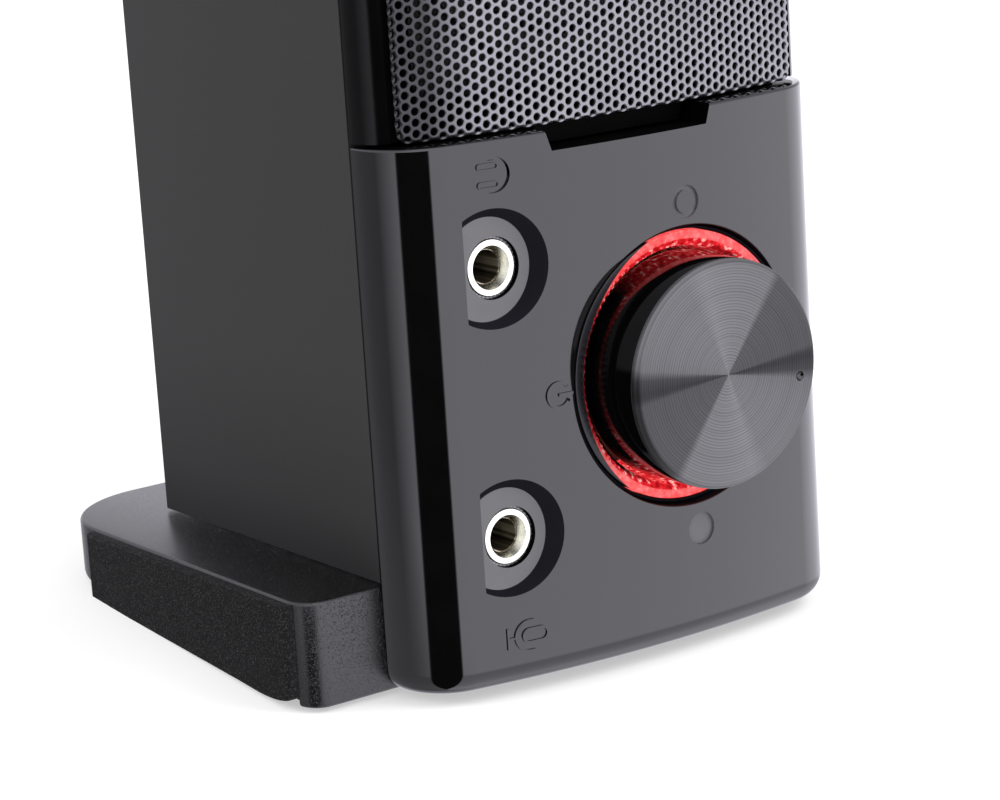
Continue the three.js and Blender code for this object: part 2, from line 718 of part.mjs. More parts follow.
function capacitor(x) {
  const front = AMP_BOARD_Y - 14;
  const back = AMP_BOARD_Y - 0.15;
  return turned([
    [0, front],
    [3.6, front],
    [4, front + 0.4],
    [4, front + 1.4],
    [3.7, front + 1.7],
    [4, front + 2],
    [4, back],
    [0, back],
  ], x, 49, 20);
}

function heatsink() {
  const root = AMP_BOARD_Y - 5.4;
  let body = box(-12, 12, root, root + 2.4, 20, 40);
  for (let i = 0; i < 7; i += 1) {
    const x = -11.4 + i * 3.6;
    body = body.add(box(x, x + 1.2, root - 7, root + 0.1, 20, 40));
  }
  return body;
}

function dcInlet() {
  const [x, z] = POWER_INLET;
  const block = box(x - 4.5, x + 4.5, AMP_BOARD_Y + BOARD_THICK + 0.1, REAR_Y - 2, z - 5.5, z + 5.5);
  return block.add(rod(x, z, INLET_RADIUS, REAR_Y - 3, REAR_Y + 1.3, 36))
    .subtract(rod(x, z, 2.75, REAR_Y - 9, REAR_Y + 3, 32))
    .add(rod(x, z, 0.95, REAR_Y - 10, REAR_Y - 0.6, 16));
}

function lineInSocket() {
  const [x, z] = LINE_IN;
  const block = box(x - 4, x + 4, AMP_BOARD_Y + BOARD_THICK + 0.1, REAR_Y - 2, z - 4.5, z + 4.5);
  return block.add(rod(x, z, LINE_IN_RADIUS, REAR_Y - 3, REAR_Y + 1.4, 36))
    .subtract(rod(x, z, JACK_BORE_RADIUS, REAR_Y - 11, REAR_Y + 3, 28));
}

function linkSocket() {
  const { left, right, bottom, top } = LINK_SOCKET;
  const outline = roundedRect(left, right, bottom, top, 0.5);
  const block = slab(outline, AMP_BOARD_Y + BOARD_THICK + 0.1, REAR_Y + 1.5);
  const mouth = roundedRect(left + 1.2, right - 1.2, bottom + 2, top - 3.4, 0.4);
  const latch = roundedRect(left + 5, right - 5, top - 4, top - 1.4, 0.3);
  return block
    .subtract(slab(mouth, REAR_Y - 9, REAR_Y + 3))
    .subtract(slab(latch, REAR_Y - 6, REAR_Y + 3));
}

// ---- acoustic parts ----
function baffle() {
  const half = HALF_WIDTH - WALL - GAP;
  const near = BAFFLE_Y - 1;
  const far = BAFFLE_Y + BAFFLE_THICK + 1;
  let body = box(-half, half, BAFFLE_Y, BAFFLE_Y + BAFFLE_THICK, SHELF_Z, CABINET_TOP - WALL - GAP);
  body = body.add(box(-half, half, BAFFLE_Y, REAR_Y - WALL - GAP, SHELF_Z, SHELF_Z + 2.4));
  body = body.subtract(rod(0, DRIVER_Z, 18.8, near, far, DRIVER_STEPS));
  body = body.subtract(slab(stadium(17.8, RADIATOR_Z, RADIATOR_STRAIGHT), near, far));
  for (const [x, z] of driverScrewSpots()) {
    body = body.subtract(rod(x, z, DRIVER_SCREW_HOLE, near, far, 16));
  }
  return body;
}

function driverScrewSpots() {
  const reach = 20.4 * Math.SQRT1_2;
  const low = DRIVER_Z - reach;
  const high = DRIVER_Z + reach;
  return [[-reach, low], [reach, low], [-reach, high], [reach, high]];
}

function driverBasket() {
  const flangeY = BAFFLE_Y - 1.9;
  let body = turned([
    [17.6, flangeY],
    [DRIVER_FLANGE_RADIUS, flangeY],
    [DRIVER_FLANGE_RADIUS, flangeY + 1],
    [18.4, flangeY + 1],
    [18.4, flangeY + 2.4],
    [13.4, flangeY + 13.2],
    [7.6, flangeY + 13.2],
    [7.6, flangeY + 12],
    [12.6, flangeY + 12],
    [17.6, flangeY + 2],
  ], 0, DRIVER_Z, DRIVER_STEPS);
  for (let i = 0; i < 4; i += 1) {
    const angle = (i * Math.PI) / 2;
    const x = 16 * Math.cos(angle);
    const z = DRIVER_Z + 16 * Math.sin(angle);
    body = body.subtract(rod(x, z, 4.6, flangeY + 4, flangeY + 11, 24));
  }
  for (const [x, z] of driverScrewSpots()) {
    body = body.subtract(rod(x, z, DRIVER_SCREW_HOLE, flangeY - 1, flangeY + 2, 16));
  }
  return body;
}

function driverGasket() {
  const inner = DRIVER_FLANGE_RADIUS - 3.3;
  const outer = DRIVER_FLANGE_RADIUS - 0.2;
  const front = BAFFLE_Y - 0.8;
  const back = BAFFLE_Y - 0.1;
  const profile = [[inner, front], [outer, front], [outer, back], [inner, back]];
  let body = turned(profile, 0, DRIVER_Z, DRIVER_STEPS);
  for (const [x, z] of driverScrewSpots()) {
    body = body.subtract(rod(x, z, DRIVER_SCREW_HOLE, BAFFLE_Y - 2, BAFFLE_Y + 1, 16));
  }
  return body;
}

function driverTopPlate() {
  return turned([[7.3, 23], [13.2, 23], [13.2, 26], [7.3, 26]], 0, DRIVER_Z, DRIVER_STEPS);
}

function driverMagnet() {
  return turned([[9, 26.15], [16, 26.15], [16, 32.5], [9, 32.5]], 0, DRIVER_Z, DRIVER_STEPS);
}

function driverYoke() {
  const pole = 6.1;
  const plate = 13.2;
  const profile = [[0, 23.2], [pole, 23.2], [pole, 32.65], [plate, 32.65], [plate, 35.6], [0, 35.6]];
  return turned(profile, 0, DRIVER_Z, DRIVER_STEPS);
}

function driverCone() {
  const profile = [[7.1, 15.6], [15.3, 10.9], [15.3, 11.4], [7.5, 16.1], [7.1, 16.1]];
  return turned(profile, 0, DRIVER_Z, DRIVER_STEPS);
}

function driverDustCap() {
  const dome = [];
  const rim = 6.7;
  const rise = 2.4;
  const thick = 0.4;
  for (let i = 0; i <= 5; i += 1) {
    const t = ((i / 5) * Math.PI) / 2;
    dome.push([rim * Math.sin(t), 15.4 - rise * Math.cos(t)]);
  }
  for (let i = 5; i >= 0; i -= 1) {
    const t = ((i / 5) * Math.PI) / 2;
    dome.push([(rim - thick) * Math.sin(t), 15.4 - (rise - thick) * Math.cos(t)]);
  }
  const loop = dome.map(([radius, y]) => new THREE.Vector2(radius, y));
  const geometry = new THREE.LatheGeometry(loop, DRIVER_STEPS);
  geometry.translate(0, 0, DRIVER_Z);
  return solid(geometry);
}

function voiceCoil() {
  const profile = [[6.4, 15.75], [6.8, 15.75], [6.95, 21], [6.95, 26.4], [6.4, 26.4]];
  return turned(profile, 0, DRIVER_Z, DRIVER_STEPS);
}

function rollProfile(inner, outer, baseY, rise, thick) {
  const middle = (inner + outer) / 2;
  const reach = (outer - inner) / 2;
  const points = [];
  for (let i = 0; i <= ROLL_STEPS; i += 1) {
    const t = Math.PI - (i / ROLL_STEPS) * Math.PI;
    points.push([middle + reach * Math.cos(t), baseY - rise * Math.sin(t)]);
  }
  for (let i = ROLL_STEPS; i >= 0; i -= 1) {
    const t = Math.PI - (i / ROLL_STEPS) * Math.PI;
    points.push([middle + (reach - thick) * Math.cos(t), baseY - (rise - thick) * Math.sin(t)]);
  }
  return points;
}

function driverSurround() {
  return turned(rollProfile(15.5, 17.4, 10.9, 1.1, 0.35), 0, DRIVER_Z, DRIVER_STEPS);
}

function driverSpider() {
  const points = [];
  const steps = 6;
  const wave = (i) => 19.2 + 0.45 * Math.cos(i * Math.PI);
  for (let i = 0; i <= steps; i += 1) {
    points.push([7.35 + (4.6 * i) / steps, wave(i)]);
  }
  for (let i = steps; i >= 0; i -= 1) {
    points.push([7.35 + (4.6 * i) / steps, wave(i) + 0.35]);
  }
  return turned(points, 0, DRIVER_Z, DRIVER_STEPS);
}

function radiatorFrame() {
  const flangeY = BAFFLE_Y - 1.7;
  return racetrack([
    [17.2, flangeY],
    [20.5, flangeY],
    [20.5, BAFFLE_Y - 0.1],
    [17.5, BAFFLE_Y - 0.1],
    [17.5, BAFFLE_Y + 2],
    [17.2, BAFFLE_Y + 2],
  ], RADIATOR_Z, RADIATOR_STRAIGHT);
}

function radiatorSurround() {
  return racetrack(rollProfile(13.3, 17, BAFFLE_Y, 1.9, 0.4), RADIATOR_Z, RADIATOR_STRAIGHT);
}

function radiatorDiaphragm() {
  const plate = slab(stadium(13, RADIATOR_Z, RADIATOR_STRAIGHT), BAFFLE_Y - 0.6, BAFFLE_Y + 0.6);
  const weight = slab(stadium(7, RADIATOR_Z, RADIATOR_STRAIGHT - 3), BAFFLE_Y - 1.6, BAFFLE_Y - 0.5);
  return plate.add(weight);
}

// ---- wedge base ----
function baseOutline(inset) {
  const left = BASE_LEFT + inset;
  const right = BASE_RIGHT - inset;
  const front = BASE_FRONT_Y + inset;
  const rear = BASE_REAR_Y - inset;
  const frontRound = Math.max(BASE_FRONT_ROUND - inset, 0.6);
  const rearRound = Math.max(BASE_REAR_ROUND - inset, 0.6);
  const corners = [
    [right - 0.6, front + 0.6, 0.6, -90],
    [right - rearRound, rear - rearRound, rearRound, 0],
    [left + rearRound, rear - rearRound, rearRound, 90],
    [left + frontRound, front + frontRound, frontRound, 180],
  ];
  const points = [];
  for (const [x, y, radius, start] of corners) {
    for (let i = 0; i <= 5; i += 1) {
      const t = THREE.MathUtils.degToRad(start + (i / 5) * 90);
      points.push([x + radius * Math.cos(t), y + radius * Math.sin(t)]);
    }
  }
  return points;
}

const lean = THREE.MathUtils.degToRad(LEAN_DEG);

// Everything of the cabinet frame at or above a level plane at the given height over the desk.
function aboveDesk(height) {
  return box(-60, 60, -60, 140, height, 60).translate([0, 0, -ORIGIN_LIFT]).rotate([LEAN_DEG, 0, 0]);
}

function belowDesk(height) {
  return box(-60, 60, -60, 140, -60, height).translate([0, 0, -ORIGIN_LIFT]).rotate([LEAN_DEG, 0, 0]);
}

// Height over the desk turned into the cabinet frame at one Y position.
function deskToCabinetZ(y, height) {
  return (height - ORIGIN_LIFT + y * Math.sin(lean)) / Math.cos(lean);
}

function baseBody() {
  const edge = 0.5;
  const roofUnder = BASE_TOP - BASE_WALL;
  const block = stacked([
    { z: -6, points: baseOutline(0) },
    { z: BASE_TOP - edge, points: baseOutline(0) },
    { z: BASE_TOP - edge / 3, points: baseOutline(edge / 3) },
    { z: BASE_TOP, points: baseOutline(edge) },
  ]).intersect(aboveDesk(FLOOR_GAP));
  const hollow = stacked([
    { z: -20, points: baseOutline(BASE_HOLLOW_INSET) },
    { z: roofUnder, points: baseOutline(BASE_HOLLOW_INSET) },
  ]);
  let keep = box(-60, 60, 0, 90, -20, 20).subtract(hollow);
  for (const [x, y] of FOOT_PADS) {
    keep = keep.add(upright(x, y, FOOT_PAD_RADIUS + 1.6, -20, 20, 16));
  }
  for (const [x, y] of BASE_SCREWS) {
    keep = keep.add(upright(x, y, 3.6, -20, 20, 12));
  }
  for (const y of BASE_RIBS_Y) {
    keep = keep.add(box(-60, 60, y - 0.8, y + 0.8, -20, 20));
  }
  let body = block.intersect(keep.add(box(-60, 60, 0, 90, roofUnder, 20)));
  for (const [x, y] of FOOT_PADS) {
    body = body.subtract(upright(x, y, FOOT_PAD_RADIUS + 0.2, -20, 20, 20).intersect(belowDesk(1.5)));
  }
  for (const [x, y] of BASE_SCREWS) {
    body = body.subtract(upright(x, y, 1.4, -20, 20, 20));
    body = body.subtract(upright(x, y, 2.5, -20, roofUnder, 20));
  }
  return body.subtract(sidePadBlock(0.2, BASE_LEFT + 1.3));
}

// Slab on the left face of the base, square to the desk, following the sloping top lip.
function sidePadBlock(clearance, innerX) {
  const outerX = BASE_LEFT - SIDE_PAD_PROUD - clearance;
  const frontY = BASE_FRONT_Y + BASE_FRONT_ROUND - 1 - clearance;
  const rearY = BASE_REAR_Y - BASE_REAR_ROUND + clearance;
  const lip = BASE_TOP - SIDE_PAD_LIP + Math.min(clearance, 0.1);
  const foot = 0.25 - clearance;
  const block = box(outerX, innerX, frontY, rearY, -6, lip).intersect(aboveDesk(foot));
  const low = deskToCabinetZ(frontY, foot);
  const corner = SIDE_PAD_CORNER;
  const shape = new THREE.Shape();
  shape.moveTo(frontY - 1, low - 1);
  shape.lineTo(frontY + corner, low - 1);
  shape.absarc(frontY + corner, low + corner, corner, -Math.PI / 2, -Math.PI, true);
  shape.lineTo(frontY - 1, low + corner);
  const geometry = new THREE.ExtrudeGeometry(shape, { depth: 8, bevelEnabled: false, curveSegments: 6 });
  geometry.rotateX(Math.PI / 2);
  geometry.rotateZ(Math.PI / 2);
  geometry.translate(outerX - 2, 0, 0);
  return block.subtract(solid(geometry));
}

function sidePad() {
  return sidePadBlock(0, BASE_LEFT + 1);
}

function footPad([x, y]) {
  const post = upright(x, y, FOOT_PAD_RADIUS, -20, 20, 20);
  return post.intersect(aboveDesk(0)).intersect(belowDesk(1.35));
}

function baseScrew([x, y]) {
  const seat = BASE_TOP - BASE_WALL - 0.1;
  const head = upright(x, y, 2.2, seat - 1.2, seat, 20);
  return head.add(upright(x, y, SCREW_SHANK_RADIUS, seat - 0.1, CABINET_BOTTOM + 6.5, 14));
}

// ---- assembly ----
const cabinet = new THREE.Group();
cabinet.name = "leaning_cabinet";

const pieces = [
  ["cabinet_shell", cabinetShell(), satinBlack],
  ["rear_plate", rearPlate(), satinBlack],
  ["grille_frame", grilleFrame(), glossBlack],
  ["grille_mesh", grilleMesh(), meshSteel],
  ["baffle", baffle(), satinBlack],
  ["control_panel", controlPanel(), glossBlack],
  ["recess_bezel", recessBezel(), glossBlack],
  ["light_ring", lightRing(), redLens],
  ["knob_body", knobBody(), glossBlack],
  ["knob_cap", knobCap(), spunAluminium],
  ["volume_pot_shaft", potShaft(), steel],
  ["volume_pot_body", potBody(), steel],
  ["headphone_bushing", bushing(jackHeights()[0]), nickel],
  ["microphone_bushing", bushing(jackHeights()[1]), nickel],
  ["headphone_jack_body", jackBody(jackHeights()[0]), chipBlack],
  ["microphone_jack_body", jackBody(jackHeights()[1]), chipBlack],
  ["control_board", controlBoard(), boardGreen],
  ["amplifier_board", ampBoard(), boardGreen],
  ["filter_capacitor_left", capacitor(-6), sleeveBlue],
  ["filter_capacitor_right", capacitor(6), sleeveBlue],
  ["amplifier_chip", box(-6, 6, AMP_BOARD_Y - 2.9, AMP_BOARD_Y - 0.1, 24, 36), chipBlack],
  ["amplifier_heatsink", heatsink(), finAluminium],
  ["power_inlet", dcInlet(), chipBlack],
  ["line_in_socket", lineInSocket(), chipBlack],
  ["link_socket", linkSocket(), chipBlack],
  ["driver_basket", driverBasket(), steel],
  ["driver_gasket", driverGasket(), rubberRoll],
  ["driver_top_plate", driverTopPlate(), steel],
  ["driver_magnet", driverMagnet(), ferrite],
  ["driver_yoke", driverYoke(), steel],
  ["driver_cone", driverCone(), paperCone],
  ["driver_dust_cap", driverDustCap(), paperCone],
  ["driver_voice_coil", voiceCoil(), copper],
  ["driver_surround", driverSurround(), rubberRoll],
  ["driver_spider", driverSpider(), amberCloth],
  ["radiator_frame", radiatorFrame(), satinBlack],
  ["radiator_surround", radiatorSurround(), rubberRoll],
  ["radiator_diaphragm", radiatorDiaphragm(), paperCone],
  ["base_body", baseBody(), grainBlack],
  ["side_pad", sidePad(), padRubber],
];
for (let i = 0; i < 4; i += 1) {
  pieces.push([`ring_led_${i + 1}`, ringLed(i), ledWhite]);
}
REAR_SCREWS.forEach(([x, z], i) => {
  pieces.push([`rear_screw_${i + 1}`, screw(x, z, REAR_Y + 2.95, 2.3, 7.5, -1), steel]);
});
driverScrewSpots().forEach(([x, z], i) => {
  pieces.push([`driver_screw_${i + 1}`, screw(x, z, BAFFLE_Y - 3.25, 2, 7, 1), steel]);
});
FOOT_PADS.forEach((spot, i) => {
  pieces.push([`foot_pad_${i + 1}`, footPad(spot), padRubber]);
});
BASE_SCREWS.forEach((spot, i) => {
  pieces.push([`base_screw_${i + 1}`, baseScrew(spot), steel]);
});

for (const [name, body, material] of pieces) {
  cabinet.add(part(name, body, material));
}
cabinet.rotation.x = -lean;
cabinet.position.z = ORIGIN_LIFT;

const speaker = new THREE.Group();
speaker.name = "desktop_speaker";
speaker.add(cabinet);
speaker.updateMatrixWorld(true);
const bounds = new THREE.Box3().setFromObject(speaker, true);
speaker.position.x = -(bounds.min.x + bounds.max.x) / 2;
speaker.position.y = -(bounds.min.y + bounds.max.y) / 2;
speaker.position.z = -bounds.min.z;
speaker.updateMatrixWorld(true);

export default speaker;
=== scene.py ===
import json
import math

import bmesh
import bpy
from mathutils import Matrix, Vector


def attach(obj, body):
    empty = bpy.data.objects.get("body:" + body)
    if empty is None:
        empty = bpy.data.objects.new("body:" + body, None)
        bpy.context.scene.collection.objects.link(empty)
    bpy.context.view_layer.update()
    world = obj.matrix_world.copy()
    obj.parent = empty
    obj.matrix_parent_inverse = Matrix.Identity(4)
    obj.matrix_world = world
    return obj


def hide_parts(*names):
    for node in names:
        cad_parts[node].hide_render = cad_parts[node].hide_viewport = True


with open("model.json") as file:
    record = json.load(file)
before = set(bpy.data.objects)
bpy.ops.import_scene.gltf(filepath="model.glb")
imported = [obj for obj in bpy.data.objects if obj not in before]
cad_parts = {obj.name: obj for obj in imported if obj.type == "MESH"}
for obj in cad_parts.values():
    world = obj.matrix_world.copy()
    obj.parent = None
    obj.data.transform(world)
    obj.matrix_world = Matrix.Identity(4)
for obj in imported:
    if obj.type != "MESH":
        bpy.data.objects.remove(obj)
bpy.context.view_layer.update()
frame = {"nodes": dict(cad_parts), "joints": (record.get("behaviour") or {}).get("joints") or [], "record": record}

# ---------------------------------------------------------------- dimensions (millimetres, cabinet frame)
# The cabinet frame has X to the right, Y to the rear and Z up the leaning front from the panel's foot.
HALF_WIDTH = 28.5
SEAM_Y = 10.45
BOW_RADIUS = 137.4
BOW_CREST_X = 3.0
BODY_CLEARANCE = 0.15

PANEL_TOP = 58.6
PANEL_CORNER = 7.5
PANEL_WALL = 2.2
PANEL_BOTTOM_ROUND = 2.6
PANEL_TOP_ROUND = 0.3
PANEL_CEILING = 54.2
NOTCH_FLOOR = 56.5
NOTCH_HALF_TOP = 11.1
NOTCH_HALF_FLOOR = 10.1

FRAME_BOTTOM = 59.0
FRAME_TOP = 190.0
FRAME_SETBACK = 2.7
FRAME_CORNER = 4.7
FRAME_WALL = 2.4
FRAME_TOP_ROUND = 2.4
WINDOW_HALF = 23.2
MESH_HALF = 26.0
MESH_BOTTOM = 58.8
MESH_TOP = 187.0
MESH_CORNER = 1.5
MESH_PROUD = 0.35
# radius and depth of each step of a grille hole, from its rolled lip to its back
HOLE_STEPS = ((0.455, 0.0), (0.43, 0.02), (0.36, 0.12), (0.36, 0.4))
HOLE_SIDES = 12

KNOB_X = 6.1
KNOB_Z = 30.8
KNOB_RADIUS = 12.38
KNOB_FACE = 6.5
KNOB_BACK = -2.6
CAP_THICKNESS = 0.84
CAP_CHAMFER = 0.45
GROOVE_PITCH = 0.14
GROOVE_DEPTH = 0.004
TOOL_PITCH = 0.32
DOT_X = 9.9
DOT_Z = -2.0
DOT_RADIUS = 0.62
RECESS_RADIUS = 15.3
RING_OUTER = 14.62
RING_LIP = 13.7
RING_EDGE = 13.3
RING_INNER = 12.85
RING_FACE = 1.0
RING_BACK = 13.6
RIB_RISE = 0.16

JACK_X = -17.4
JACK_SPACING = 14.4
JACK_FACE_Y = 2.45
JACK_RADIUS = 3.0
POCKET_FLOOR_Y = 2.1
POCKET_FLOOR_X = -18.25
POCKET_FLOOR_RADIUS = 5.47
POCKET_RIM_X = -17.6
POCKET_RIM_RADIUS = 6.25

DISC_ICON_X = 6.7
DISC_ICON_RADIUS = 1.8
RING_ICON_UP = 17.8
DISC_ICON_DOWN = 18.25
HEADPHONE_ICON = (-17.05, 54.95)
MICROPHONE_ICON = (-16.25, 5.5)
POWER_ICON = (-11.05, 30.75)
ICON_RISE = 0.17
ICON_ROOT = 0.3

BASE_TOP = 11.8
BASE_LEFT = -38.5
BASE_RIGHT = 28.5
BASE_FRONT_Y = 10.6
BASE_REAR_Y = 66.3
BASE_FRONT_ROUND = 3.0
BASE_REAR_ROUND = 12.0
BASE_WALL = 3.9
BASE_ROOF = 2.4
FLOOR_GAP = 0.5
FOOT_SPOTS = ((-31, 18.5), (21, 18.5), (-22, 60), (16, 60))
SCREW_SPOTS = ((-16, 30), (16, 30))
RIB_HALF = 0.8
# a height well below the foot, for cutters that go right through
BELOW = -20.0
PAD_PROUD = 1.1
PAD_GAP = 0.25
PAD_FRONT_Y = BASE_FRONT_Y + BASE_FRONT_ROUND - 1
PAD_CORNER_LONG = 7.5
PAD_CORNER_HIGH = 1.7

MM = 0.001

# The knob's hinge gives the cabinet frame: its point is the knob's centre, and its axis is the cabinet's -Y.
HINGE = next(j for j in frame["joints"] if j["name"] == "volume_turn")
LEAN = math.atan2(HINGE["axis"][2], -HINGE["axis"][1])
CABINET = (Matrix.Translation(Vector(HINGE["pos_m"]))
           @ Matrix.Rotation(-LEAN, 4, "X")
           @ Matrix.Translation(Vector((-KNOB_X, 0.0, -KNOB_Z)) * MM))


def facing_front(x, z):
    """Frame of a turned piece on the front: its Z axis points out of the cabinet at (x, z)."""
    return CABINET @ Matrix.Translation(Vector((x, 0.0, z)) * MM) @ Matrix.Rotation(math.pi / 2, 4, "X")


KNOB_AXIS = facing_front(KNOB_X, KNOB_Z)

# ---------------------------------------------------------------- node helpers
# numbered sockets of the Mix node in its colour form
MIX_FIRST, MIX_SECOND, MIX_RESULT = 6, 7, 2
SHADER_SOCKETS = {"metallic": "Metallic", "specular": "Specular IOR Level", "anisotropic": "Anisotropic",
                  "anisotropic_rotation": "Anisotropic Rotation"}


def new_material(name):
    material = bpy.data.materials.new(name)
    material.use_nodes = True
    tree = material.node_tree
    shader = tree.nodes["Principled BSDF"]
    return material, tree, shader


def node(tree, kind, inputs=None, **settings):
    """New node with its settings; each input takes a value or the socket that feeds it."""
    made = tree.nodes.new(kind)
    for key, value in settings.items():
        setattr(made, key, value)
    for key, value in (inputs or {}).items():
        feed(tree, made.inputs[key], value)
    return made


def feed(tree, socket, value):
    if isinstance(value, bpy.types.NodeSocket):
        tree.links.new(value, socket)
    else:
        socket.default_value = value


def paint(tree, shader, color, rough, **constants):
    """Feeds the shader's colour and roughness; the constants go straight on its own sockets."""
    feed(tree, shader.inputs["Base Color"], color)
    feed(tree, shader.inputs["Roughness"], rough)
    for key, value in constants.items():
        shader.inputs[SHADER_SOCKETS[key]].default_value = value


def grey(value):
    return (value, value, value)


def object_coordinates(tree):
    """Object coordinates in millimetres."""
    coordinates = node(tree, "ShaderNodeTexCoord").outputs["Object"]
    mapping = node(tree, "ShaderNodeMapping", {"Vector": coordinates, "Scale": (1000.0, 1000.0, 1000.0)})
    return mapping.outputs["Vector"]


def object_axes(tree):
    """The object's own X, Y and Z in metres."""
    coordinates = node(tree, "ShaderNodeTexCoord").outputs["Object"]
    return node(tree, "ShaderNodeSeparateXYZ", {"Vector": coordinates}).outputs


def noise(tree, vector, scale, detail=3.0, roughness=0.55):
    inputs = {"Vector": vector, "Scale": scale, "Detail": detail, "Roughness": roughness}
    return node(tree, "ShaderNodeTexNoise", inputs).outputs["Fac"]


def noise_along(tree, value, scale, detail):
    """Noise that varies with one number only."""
    inputs = {"W": value, "Scale": scale, "Detail": detail}
    return node(tree, "ShaderNodeTexNoise", inputs, noise_dimensions="1D").outputs["Fac"]


def ramp(tree, factor, stops):
    made = node(tree, "ShaderNodeValToRGB", {"Fac": factor})
    elements = made.color_ramp.elements
    while len(elements) < len(stops):
        elements.new(0.5)
    for element, (position, color) in zip(elements, stops):
        element.position = position
        element.color = (*color, 1.0)
    return made.outputs["Color"]


def map_range(tree, value, start, stop, low=0.0, high=1.0, shape="LINEAR"):
    inputs = {"Value": value, "From Min": start, "From Max": stop, "To Min": low, "To Max": high}
    return node(tree, "ShaderNodeMapRange", inputs, interpolation_type=shape).outputs["Result"]


def remap(tree, factor, low, high):
    return map_range(tree, factor, 0.0, 1.0, low, high)


def math_node(tree, operation, a, b=0.0):
    return node(tree, "ShaderNodeMath", {0: a, 1: b}, operation=operation).outputs[0]


def mix_colors(tree, factor, first, second, blend="MIX"):
    """Mix of two colours; each is a triple or a socket."""
    first, second = ((*color, 1.0) if isinstance(color, tuple) else color for color in (first, second))
    inputs = {"Factor": factor, MIX_FIRST: first, MIX_SECOND: second}
    return node(tree, "ShaderNodeMix", inputs, data_type="RGBA", blend_type=blend).outputs[MIX_RESULT]


def bump(tree, shader, height, distance, strength=1.0, under=None):
    """Bump of so many millimetres on the shader, laid over the normal of another bump if one is given."""
    inputs = {"Height": height, "Distance": distance * MM, "Strength": strength}
    if under is not None:
        inputs["Normal"] = under
    normal = node(tree, "ShaderNodeBump", inputs).outputs["Normal"]
    feed(tree, shader.inputs["Normal"], normal)
    return normal


def axis_radius(tree):
    """Distance from the object's own Z axis."""
    coordinates = node(tree, "ShaderNodeTexCoord").outputs["Object"]
    flat = node(tree, "ShaderNodeVectorMath", {0: coordinates, 1: (1.0, 1.0, 0.0)}, operation="MULTIPLY")
    length = node(tree, "ShaderNodeVectorMath", {0: flat.outputs["Vector"]}, operation="LENGTH")
    return length.outputs["Value"]


def axis_turn(tree):
    """Angle round the object's own Z axis, from 0 to 1 for a full turn."""
    axes = object_axes(tree)
    angle = math_node(tree, "ARCTAN2", axes[1], axes[0])
    return math_node(tree, "ADD", math_node(tree, "MULTIPLY", angle, 0.5 / math.pi), 0.5)


# ---------------------------------------------------------------- materials
def plastic(name, dark, light, rough, grain_mm, grain_depth, specular=0.5):
    """Moulded plastic: blotchy colour, roughness that varies with it, and a fine moulded grain."""
    material, tree, shader = new_material(name)
    vector = object_coordinates(tree)
    blotch = noise(tree, vector, 0.12, 4.0)
    fine = noise(tree, vector, 1.0 / grain_mm, 4.0, 0.6)
    color = ramp(tree, blotch, [(0.3, dark), (0.7, light)])
    paint(tree, shader, color, remap(tree, fine, *rough), specular=specular)
    bump(tree, shader, fine, grain_depth)
    return material


def gloss_black(name, level, rough):
    """High-gloss moulding with a very slight ripple and a faint haze of handling marks."""
    material, tree, shader = new_material(name)
    vector = object_coordinates(tree)
    haze = noise(tree, vector, 0.25, 5.0, 0.65)
    color = ramp(tree, haze, [(0.35, grey(level)), (0.7, grey(level * 1.4))])
    paint(tree, shader, color, remap(tree, haze, *rough))
    bump(tree, shader, noise(tree, vector, 0.16, 1.0), 0.006)
    return material


def streaked_brass():
    """Inside of a socket: dull brass with long streaks along the bore, rough and bumped as machining marks, their
    light and dark in the colour a painted reflection.
    """
    material, tree, shader = new_material("socket_barrel")
    streaks_and_painted_reflection = noise_along(tree, axis_turn(tree), 9.0, 3.0)
    # painted reflection: the streaks' bright and dark tones stand in for reflections along the bore
    color = ramp(tree, streaks_and_painted_reflection, [
        (0.34, (0.03, 0.024, 0.015)), (0.48, (0.16, 0.13, 0.085)), (0.62, (0.62, 0.57, 0.45))])
    paint(tree, shader, color, remap(tree, streaks_and_painted_reflection, 0.25, 0.45), metallic=0.8)
    bump(tree, shader, streaks_and_painted_reflection, 0.01)
    return material


def satin_with_painted_shade():
    """Satin black of the cabinet, with painted shade that darkens it toward the foot."""
    material, tree, shader = new_material("satin_black_moulding")
    # painted shade: the colour darkens from 34 mm down to 10 mm on the object's own Z
    height = map_range(tree, object_axes(tree)[2], 10.0 * MM, 34.0 * MM)
    tone = ramp(tree, height, [(0.0, grey(0.006)), (0.35, grey(0.022)), (1.0, grey(0.030))])
    grain = noise(tree, object_coordinates(tree), 5.0, 3.0)
    paint(tree, shader, tone, remap(tree, grain, 0.5, 0.6), specular=0.16)
    bump(tree, shader, grain, 0.008)
    return material


def leather_plastic():
    """Satin black with a fine leather-like moulded grain."""
    material, tree, shader = new_material("grained_black_moulding")
    vector = object_coordinates(tree)
    wobble = node(tree, "ShaderNodeTexNoise", {"Vector": vector, "Scale": 2.5, "Detail": 2.0})
    warp = node(tree, "ShaderNodeVectorMath", {0: vector, 1: wobble.outputs["Color"]}, operation="ADD")
    cells = node(tree, "ShaderNodeTexVoronoi", {"Vector": warp.outputs["Vector"], "Scale": 4.6}, feature="F1")
    pebble = ramp(tree, cells.outputs["Distance"], [(0.0, grey(0.0)), (0.16, grey(0.8)), (0.4, grey(1.0))])
    fine = noise(tree, vector, 6.0, 3.0)
    tone = ramp(tree, noise(tree, vector, 0.1, 3.0), [(0.3, grey(0.0015)), (0.7, grey(0.0025))])
    paint(tree, shader, tone, remap(tree, fine, 0.26, 0.36))
    first = bump(tree, shader, pebble, 0.085, 1.0)
    bump(tree, shader, fine, 0.008, 0.6, first)
    return material


